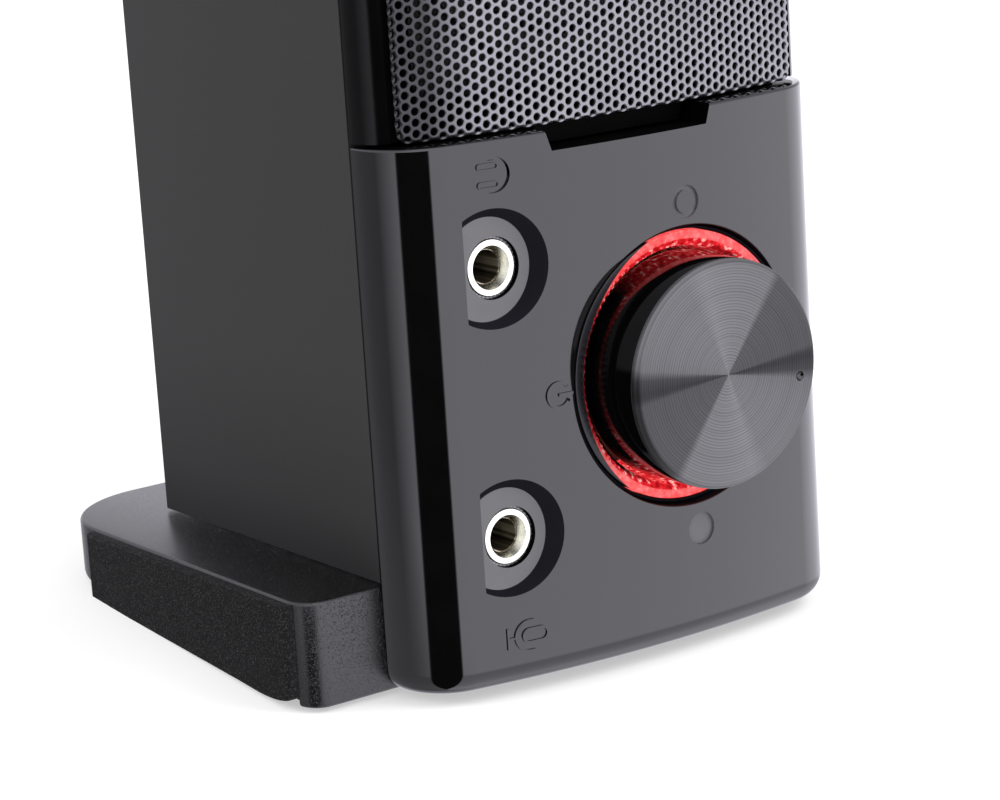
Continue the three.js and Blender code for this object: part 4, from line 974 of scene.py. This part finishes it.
class Sheet:
    """Perforated sheet: flat (s, z) goes onto the bowed front, and round a small fold at the border."""

    fold = 0.42
    pitch = 1.15

    def __init__(self):
        self.wrap = Wrap(-MESH_PROUD)
        inset = 0.12
        self.left = self.wrap.along(-MESH_HALF) + inset + self.fold
        self.right = self.wrap.along(MESH_HALF) - inset - self.fold
        self.low = MESH_BOTTOM + self.fold
        self.high = MESH_TOP - inset - self.fold
        self.corner = MESH_CORNER - self.fold

    def at(self, s, z, thick):
        """Point at a flat distance, so far behind the sheet's face."""
        inner_s = min(max(s, self.left + self.corner), self.right - self.corner)
        inner_z = min(max(z, self.low + self.corner), self.high - self.corner)
        ds, dz = s - inner_s, z - inner_z
        distance = math.hypot(ds, dz)
        if ds == 0.0 or dz == 0.0:
            edge_s = min(max(s, self.left), self.right)
            edge_z = min(max(z, self.low), self.high)
        else:
            reach = min(distance, self.corner)
            edge_s, edge_z = inner_s + ds / distance * reach, inner_z + dz / distance * reach
        past = math.hypot(s - edge_s, z - edge_z)
        if past < 1e-9:
            return self.wrap.at(s, thick) + (z,)
        ns, nz = (s - edge_s) / past, (z - edge_z) / past
        turn = past / self.fold
        if turn < math.pi / 2:
            out = (self.fold - thick) * math.sin(turn)
            depth = self.fold - (self.fold - thick) * math.cos(turn)
        else:
            out = self.fold - thick
            depth = self.fold + past - self.fold * math.pi / 2
        x, y = self.wrap.at(edge_s + ns * out, depth)
        return x, y, edge_z + nz * out

    def band(self, name, rows):
        """One band of the sheet: hexagonal cells, each with a round hole whose lip is rolled in."""
        points, faces, index = [], [], {}

        def point(s, z, thick):
            key = (round(s * 500), round(z * 500), round(thick * 500))
            if key not in index:
                index[key] = len(points)
                points.append(self.at(s, z, thick))
            return index[key]

        step = self.pitch * math.sqrt(3) / 2
        reach = self.pitch / math.sqrt(3)
        skirt = self.fold * math.pi / 2 + 0.35
        middle = (self.left + self.right) / 2
        columns = int((self.right - self.left + 2 * skirt) / step)
        circle = [(math.cos(math.pi * k / 6), math.sin(math.pi * k / 6)) for k in range(HOLE_SIDES)]
        hexagon = [(reach * math.cos(math.pi * k / 3), reach * math.sin(math.pi * k / 3)) for k in range(6)]
        rim = []
        for (ax, az), (bx, bz) in zip(hexagon, hexagon[1:] + hexagon[:1]):
            rim += [(ax, az), ((ax + bx) / 2, (az + bz) / 2)]
        for c in range(columns):
            s = middle + (c - (columns - 1) / 2) * step
            for r in rows:
                z = self.low - skirt + 0.45 + (r + (0.5 if c % 2 else 0.0)) * self.pitch
                if z > self.high + skirt:
                    continue
                rings = [[point(s + dx, z + dz, 0.0) for dx, dz in rim]]
                for radius, thick in HOLE_STEPS:
                    rings.append([point(s + radius * dx, z + radius * dz, thick) for dx, dz in circle])
                for inner, outer in zip(rings[1:], rings):
                    for k in range(HOLE_SIDES):
                        j = (k + 1) % HOLE_SIDES
                        faces.append((outer[k], outer[j], inner[j], inner[k]))
        made = mesh_object(name, points, faces, GRILLE)
        smooth(made, 60.0)
        return made


def perforated_sheet():
    """The sheet in three bands, which keeps each piece small; the first one replaces the plain CAD sheet."""
    sheet = Sheet()
    total = int((sheet.high - sheet.low + 1.4) / sheet.pitch) + 2
    ends = (0, total // 3, 2 * (total // 3), total)
    for name, start, stop in zip(("low", "middle", "high"), ends, ends[1:]):
        stands_for = [] if start else ["grille_mesh"]
        place(sheet.band("grille_sheet_" + name, range(start, stop)), "speaker", "grille_steel", *stands_for)


# ---------------------------------------------------------------- knob and ring
def knob():
    front, skirt = KNOB_FACE - 0.9, KNOB_RADIUS - 1.8
    body = fillet([
        (2.1, front), (KNOB_RADIUS, front), (KNOB_RADIUS, KNOB_BACK), (skirt, KNOB_BACK),
        (skirt, front - 2.0), (5.4, front - 2.0), (5.4, KNOB_BACK), (3.25, KNOB_BACK),
        (3.25, front - 2.4), (2.1, front - 2.4),
    ], [0, 0.08, 0.5, 0.2, 0.3, 0.3, 0.2, 0.2, 0, 0])
    made = smooth(lathe("knob_moulding", body, KNOB_GLOSS, KNOB_AXIS, 240))
    place(made, "volume_knob", "gloss_black", "knob_body")

    edge = KNOB_RADIUS - 0.04
    back, spigot = KNOB_FACE - CAP_THICKNESS, KNOB_FACE - 2.6
    profile = [(0.0, KNOB_FACE)]
    for turn in range(1, int((edge - CAP_CHAMFER - 0.15) / GROOVE_PITCH)):
        profile.append((turn * GROOVE_PITCH, KNOB_FACE - (GROOVE_DEPTH if turn % 2 else 0.0)))
    profile += [(edge - CAP_CHAMFER - 0.03, KNOB_FACE), (edge - CAP_CHAMFER + 0.02, KNOB_FACE - 0.02),
                (edge - 0.03, KNOB_FACE - CAP_CHAMFER + 0.03), (edge, KNOB_FACE - CAP_CHAMFER - 0.02),
                (edge, back), (1.9, back), (1.9, spigot), (0.0, spigot)]
    cap = lathe("knob_cap_turning", profile, SPUN, KNOB_AXIS, 240)
    layers = []
    for t in [math.pi * r / 14 for r in range(1, 14)]:
        height = KNOB_FACE + 0.3 + DOT_RADIUS * math.cos(t)
        layers.append([(x, y, height) for x, y in circle_xy(DOT_X, DOT_Z, DOT_RADIUS * math.sin(t), 40)])
    cut(cap, [stack("dimple", layers, KNOB_GLOSS, KNOB_AXIS)])
    smooth(cap, 25.0)
    place(cap, "volume_knob", "spun_aluminium", "knob_cap")


def recess_ring():
    outer, inner, flange = 15.05, 14.75, 16.6
    front, step_back, back = -1.15, -4.0, -5.2
    bezel = fillet([(outer, front), (outer, step_back), (flange, step_back), (flange, back), (inner, back),
                    (inner, front)], [0.08, 0, 0, 0, 0, 0.08])
    made = smooth(lathe("recess_lining", bezel, POCKET_WALL, KNOB_AXIS, 240))
    place(made, "speaker", "gloss_black", "recess_bezel")

    def ribs(radius, height, step):
        """Two steps in five stand up as a rib, from the lip of the face down the slope."""
        if RING_INNER + 0.02 < radius < RING_LIP - 0.01 and height > -3.0 and step % 5 < 2:
            return radius, height + RIB_RISE
        return radius, height

    depth = -RING_FACE
    ring = [(RING_OUTER, depth - 0.1), (RING_OUTER, -RING_BACK), (RING_INNER, -RING_BACK),
            (RING_INNER, depth - 1.1)]
    ring += [(RING_INNER + (RING_EDGE - RING_INNER) * k / 4, depth - 0.8 + 0.5 * k / 4) for k in range(5)]
    ring += [(RING_EDGE + 0.14, depth - 0.18), (RING_LIP - 0.14, depth - 0.1),
             (RING_LIP - 0.02, depth - 0.06), (RING_LIP + 0.04, depth + 0.02),
             (RING_OUTER - 0.12, depth + 0.02), (RING_OUTER - 0.03, depth - 0.01)]
    made = smooth(lathe("light_ring_moulding", ring, RED, KNOB_AXIS, 480, ribs), 30.0)
    place(made, "speaker", "red_lens", "light_ring")


# ---------------------------------------------------------------- sockets
def sockets():
    def turned(name, profile, material, steps, wobble=None):
        return smooth(lathe(name, profile, material, axis, steps, wobble))

    def knurled(radius, height, step):
        """Every other pair of steps stands up from the collar's face."""
        return radius, height + (0.06 if step % 4 < 2 and height > -4.0 else 0.0)

    face, end = -JACK_FACE_Y, -9.5
    for side, name in ((1, "headphone"), (-1, "microphone")):
        axis = facing_front(JACK_X, KNOB_Z + side * JACK_SPACING)
        ring = fillet([(2.32, face), (JACK_RADIUS, face), (JACK_RADIUS, -5.4), (1.85, -5.4),
                       (1.85, face - 0.95)], [0.05, 0.14, 0, 0, 0.1])
        place(turned(name + "_ring", ring, NICKEL, 128), "speaker", "nickel", name + "_bushing")
        collar = fillet([(3.02, face - 0.25), (3.28, face - 0.25), (3.28, -5.0), (3.02, -5.0)],
                        [0.04, 0.04, 0, 0])
        place(turned(name + "_collar", collar, KNURL, 160, knurled), "speaker", "nickel")
        barrel = [(1.78, face - 1.1), (1.84, face - 1.1), (1.84, end), (1.5, end), (1.5, -9.3), (1.78, -9.3)]
        place(turned(name + "_barrel", barrel, CONTACT, 96), "speaker", "nickel")
        leaf = fillet([(-0.55, 0.0), (0.55, 0.0), (0.55, 0.22), (-0.55, 0.22)], [0.1, 0.1, 0.1, 0.1], 3)
        layers = []
        for k in range(13):
            t = k / 12
            sag = 0.5 * math.sin(math.pi * t)
            layers.append([(u, 1.72 - sag - v, -6.0 - 6.0 * t) for u, v in leaf])
        place(smooth(stack(name + "_contact", layers, CONTACT, axis)), "speaker", "nickel")


# ---------------------------------------------------------------- cabinet, foot and pads
def rounded_copy(node_name, new_name, width, material, slot_name):
    """A copy of a CAD node's mesh with clean faces and softened edges."""
    made = linked(new_name, frame["nodes"][node_name].data.copy())
    work = bmesh.new()
    work.from_mesh(made.data)
    bmesh.ops.remove_doubles(work, verts=work.verts, dist=0.003 * MM)
    bmesh.ops.dissolve_limit(work, angle_limit=math.radians(0.6), verts=work.verts, edges=work.edges)
    bmesh.ops.recalc_face_normals(work, faces=work.faces)
    work.to_mesh(made.data)
    work.free()
    made.data.materials.clear()
    made.data.materials.append(material)
    made.data.transform(CABINET.inverted())
    made.matrix_world = CABINET
    bevel(made, width)
    smooth(made, 20.0)
    return place(made, "speaker", slot_name, node_name)


def base_outline(inset):
    """Outline of the foot seen from above, so far inside its edge."""
    left, right = BASE_LEFT + inset, BASE_RIGHT - inset
    front, rear = BASE_FRONT_Y + inset, BASE_REAR_Y - inset
    front_round = max(BASE_FRONT_ROUND - inset, 0.4)
    rear_round = max(BASE_REAR_ROUND - inset, 0.4)
    tight = 0.6
    points = []
    for x, y, radius, start in ((right - tight, front + tight, tight, -90),
                                (right - rear_round, rear - rear_round, rear_round, 0),
                                (left + rear_round, rear - rear_round, rear_round, 90),
                                (left + front_round, front + front_round, front_round, 180)):
        for k in range(25):
            t = math.radians(start + 90 * k / 24)
            points.append((x + radius * math.cos(t), y + radius * math.sin(t)))
    return points


def desk_z(y, height):
    """Cabinet-frame Z of a point at cabinet Y that is so many millimetres above the desk."""
    return (height - CABINET.translation.z / MM + y * math.sin(LEAN)) / math.cos(LEAN)


def base_body():
    """Foot moulding: hollow underneath, with ribs and posts, and with a place for the side pad."""
    low, high = 0.5, 0.4
    layers = []
    for k in range(5):
        a = math.pi / 2 * k / 4
        rise = low * (1 - math.cos(a))
        layers.append([(x, y, desk_z(y, FLOOR_GAP) + rise) for x, y in base_outline(low * (1 - math.sin(a)))])
    for k in range(6):
        a = math.pi / 2 * k / 5
        z = BASE_TOP - high * (1 - math.sin(a))
        layers.append([(x, y, z) for x, y in base_outline(high * (1 - math.cos(a)))])
    body = stack("base_moulding", layers, GRAINED)
    outline = base_outline(BASE_WALL)
    roof = BASE_TOP - BASE_ROOF
    hollow = stack("hollow", [[(x, y, z) for x, y in outline] for z in (BELOW, roof)], INNER_SATIN)
    posts = [(spot, 6.6) for spot in FOOT_SPOTS] + [(spot, 3.6) for spot in SCREW_SPOTS]
    keep = [round_bar("post", x, y, radius, BELOW - 1.0, -BELOW, 48, INNER_SATIN) for (x, y), radius in posts]
    keep += [block("rib", -60, 60, y - RIB_HALF, y + RIB_HALF, BELOW - 1.0, -BELOW, INNER_SATIN)
             for y in (30, 44)]
    cut(hollow, keep)
    cut(body, [hollow])
    for x, y in FOOT_SPOTS:
        ring = circle_xy(x, y, 5.2, 64)
        layers = [[(px, py, BELOW) for px, py in ring], [(px, py, desk_z(py, 1.5)) for px, py in ring]]
        cut(body, [stack("pocket", layers, INNER_SATIN)])
    for x, y in SCREW_SPOTS:
        cut(body, [round_bar("hole", x, y, 1.4, BELOW, -BELOW, 32, INNER_SATIN)])
        cut(body, [round_bar("hole", x, y, 2.5, BELOW, roof, 32, INNER_SATIN)])
    cut(body, [pad_block("pad_pocket", 0.12, -37.2, INNER_SATIN)])
    rise = pad_rise(PAD_FRONT_Y, PAD_GAP)
    under = rise + [(rise[-1][0], -12.0), (rise[0][0], -12.0)]
    edges = [[(x, y, z) for y, z in under] for x in (-60.0, BASE_LEFT + 1.2)]
    cut(body, [stack("under_pad", edges, INNER_SATIN)])
    smooth(body, 28.0)
    # the glossy panel beside it stays free of its outline
    body.visible_glossy = False
    place(body, "speaker", "grained_black", "base_body")


def pad_rise(front, gap, steps=16):
    """The pad's lower front corner: a long low round that lifts it off the desk."""
    line = []
    for k in range(steps + 1):
        t = math.radians(180 + 90 * k / steps)
        y = front + PAD_CORNER_LONG + PAD_CORNER_LONG * math.cos(t)
        line.append((y, desk_z(y, gap) + PAD_CORNER_HIGH * (1 + math.sin(t))))
    return line


def pad_block(name, clearance, inner_x, material, edge=0.0):
    """Pad on the foot's left face: level underneath, its top along the foot's, with a softened outer edge."""
    outer = BASE_LEFT - PAD_PROUD - clearance
    rear = BASE_REAR_Y - BASE_REAR_ROUND + clearance
    front = PAD_FRONT_Y - clearance
    lip = BASE_TOP - 0.3 + min(clearance, 0.05)
    gap = PAD_GAP - clearance
    outline = [(rear, desk_z(rear, gap)), (rear, lip), (front, lip)] + pad_rise(front, gap)
    centre_y = sum(y for y, _ in outline) / len(outline)
    centre_z = sum(z for _, z in outline) / len(outline)

    def toward(value, centre, pull):
        return value + math.copysign(min(pull, abs(value - centre)), centre - value)

    layers = []
    for turn in [math.pi / 2 * k / 3 for k in range(4)] if edge else [0.0]:
        pull, x = edge * (1 - math.sin(turn)), outer + edge * (1 - math.cos(turn))
        layers.append([(x, toward(y, centre_y, pull), toward(z, centre_z, pull)) for y, z in outline])
    layers.append([(inner_x, y, z) for y, z in outline])
    return stack(name, layers, material)


def side_pad():
    pad = pad_block("side_pad_foam", 0.0, -37.5, FOAM, 0.45)
    smooth(pad, 50.0)
    pad.visible_glossy = False
    place(pad, "speaker", "pad_rubber", "side_pad")


def foot_pads():
    """The four round pads, kept out of the panel's reflections with the foot."""
    for number in range(1, 5):
        pad = rounded_copy(f"foot_pad_{number}", f"foot_pad_rubber_{number}", 0.2, FOAM, "pad_rubber")
        pad.visible_glossy = False


# ---------------------------------------------------------------- camera, floor and light
SENSOR_WIDTH = 36.0
# focal length over the sensor's width, and the eye in millimetres from the cabinet frame's origin
FOCAL_RATIO = 3.36507
EYE = (-213.56, -261.98, 141.53)
# heading and lift, in degrees, of the side of the speaker that the camera is on
CAMERA_SIDE = (-36.245, 18.462)
# heading in degrees and level of the soft light cards: 0 is in front, positive to the right
LEVEL_CARDS = ((-180, 0.16), (-100, 0.18), (-66, 0.72), (-63, 0.0), (-13, 0.0), (-11, 1.0), (70, 1.0),
               (95, 0.8), (179, 0.4))
UPPER_CARDS = ((-180, 0.4), (-66, 0.7), (-40, 1.0), (25, 1.0), (60, 0.5), (110, 0.32), (179, 0.36))
LOWER_CARDS = ((-180, 0.12), (-66, 0.3), (-63, 0.0), (-13, 0.0), (-11, 0.62), (70, 0.62), (110, 0.3),
               (179, 0.2))
CARD_STRENGTH = 2.95
CARD_TINT = (1.0, 0.985, 1.08)
# name, heading, lift, size in metres and power in watts
SOFTBOXES = (("key_softbox", 55.0, 45.0, 0.6, 6.0), ("fill_softbox", -110.0, 35.0, 0.6, 3.5))
# in metres: how far the softboxes stand from the speaker's middle, and that middle's height
SOFTBOX_DISTANCE = 0.9
MIDDLE_HEIGHT = 0.09
FLOOR_HALF = 4.0


def direction(heading, lift):
    """Unit vector at a heading and a lift in degrees."""
    a, e = math.radians(heading), math.radians(lift)
    return Vector((math.sin(a) * math.cos(e), -math.cos(a) * math.cos(e), math.sin(e)))


def face_along(made, way):
    """Turns a camera or lamp to look along a vector."""
    made.rotation_mode = "QUATERNION"
    made.rotation_quaternion = way.to_track_quat("-Z", "Y")


def camera():
    data = bpy.data.cameras.new("camera")
    data.sensor_width = SENSOR_WIDTH
    data.lens = SENSOR_WIDTH * FOCAL_RATIO
    data.clip_start = 0.01
    made = linked("camera", data)
    made.location = CABINET.translation + Vector(EYE) * MM
    face_along(made, -direction(*CAMERA_SIDE))
    bpy.context.scene.camera = made


def floor():
    corners = [(x * FLOOR_HALF, y * FLOOR_HALF, 0) for x, y in ((-1, -1), (1, -1), (1, 1), (-1, 1))]
    mesh = bpy.data.meshes.new("floor")
    mesh.from_pydata(corners, [], [(0, 1, 2, 3)])
    made = linked("floor", mesh)
    material, tree, shader = new_material("floor_paint")
    paint(tree, shader, (0.55, 0.55, 0.55, 1.0), 0.9, specular=0.0)
    shader.inputs["Emission Color"].default_value = (1.0, 1.0, 1.0, 1.0)
    shader.inputs["Emission Strength"].default_value = 0.45
    mesh.materials.append(material)
    made.visible_glossy = False


def world_cards():
    """Light all round: soft white for the matt part of surfaces, and cards for their reflections."""
    world = bpy.data.worlds.new("studio")
    bpy.context.scene.world = world
    world.use_nodes = True
    tree = world.node_tree
    tree.nodes.clear()
    output = node(tree, "ShaderNodeOutputWorld")
    coordinates = node(tree, "ShaderNodeTexCoord").outputs["Generated"]
    out = node(tree, "ShaderNodeSeparateXYZ", {"Vector": coordinates}).outputs
    forward = math_node(tree, "MULTIPLY", out[1], -1.0)
    heading = math_node(tree, "MULTIPLY", math_node(tree, "ARCTAN2", out[0], forward), 180.0 / math.pi)
    lift = math_node(tree, "MULTIPLY", math_node(tree, "ARCSINE", out[2]), 180.0 / math.pi)
    turn = map_range(tree, heading, -180.0, 180.0)

    def cards_round(stops):
        return ramp(tree, turn, [((degrees + 180.0) / 360.0, grey(level)) for degrees, level in stops])

    def blend(low_side, high_side, start, stop):
        return mix_colors(tree, map_range(tree, lift, start, stop), low_side, high_side)

    above = blend(cards_round(LEVEL_CARDS), cards_round(UPPER_CARDS), 3.0, 7.0)
    cards = mix_colors(tree, 1.0, blend(cards_round(LOWER_CARDS), above, -24.0, -16.0), CARD_TINT, "MULTIPLY")
    card_light = node(tree, "ShaderNodeBackground", {"Color": cards, "Strength": CARD_STRENGTH})
    soft = node(tree, "ShaderNodeBackground", {"Color": (1.0, 1.0, 1.0, 1.0), "Strength": 1.0})
    reflected = node(tree, "ShaderNodeLightPath").outputs["Is Glossy Ray"]
    mix = node(tree, "ShaderNodeMixShader", {"Fac": reflected, 1: soft.outputs[0], 2: card_light.outputs[0]})
    feed(tree, output.inputs["Surface"], mix.outputs[0])


def softboxes():
    """Two area lights that face the speaker from a little under a metre away."""
    for name, heading, lift, size, power in SOFTBOXES:
        data = bpy.data.lights.new(name, "AREA")
        data.size = size
        data.energy = power
        lamp = linked(name, data)
        out = direction(heading, lift)
        lamp.location = out * SOFTBOX_DISTANCE + Vector((0, 0, MIDDLE_HEIGHT))
        face_along(lamp, -out)
        lamp.visible_glossy = False


# ---------------------------------------------------------------- build
slot_of = {entry["node"]: entry["material_slot"] for entry in frame["record"]["subparts"]}
for node_name, cad in frame["nodes"].items():
    cad.data.materials.clear()
    cad.data.materials.append(BY_SLOT[slot_of[node_name]])

bpy.context.scene.view_settings.view_transform = "Standard"
camera()
floor()
world_cards()
softboxes()
control_panel()
grille_frame()
perforated_sheet()
knob()
recess_ring()
sockets()
base_body()
side_pad()
foot_pads()
rounded_copy("cabinet_shell", "cabinet_moulding", 0.3, SATIN, "satin_black")
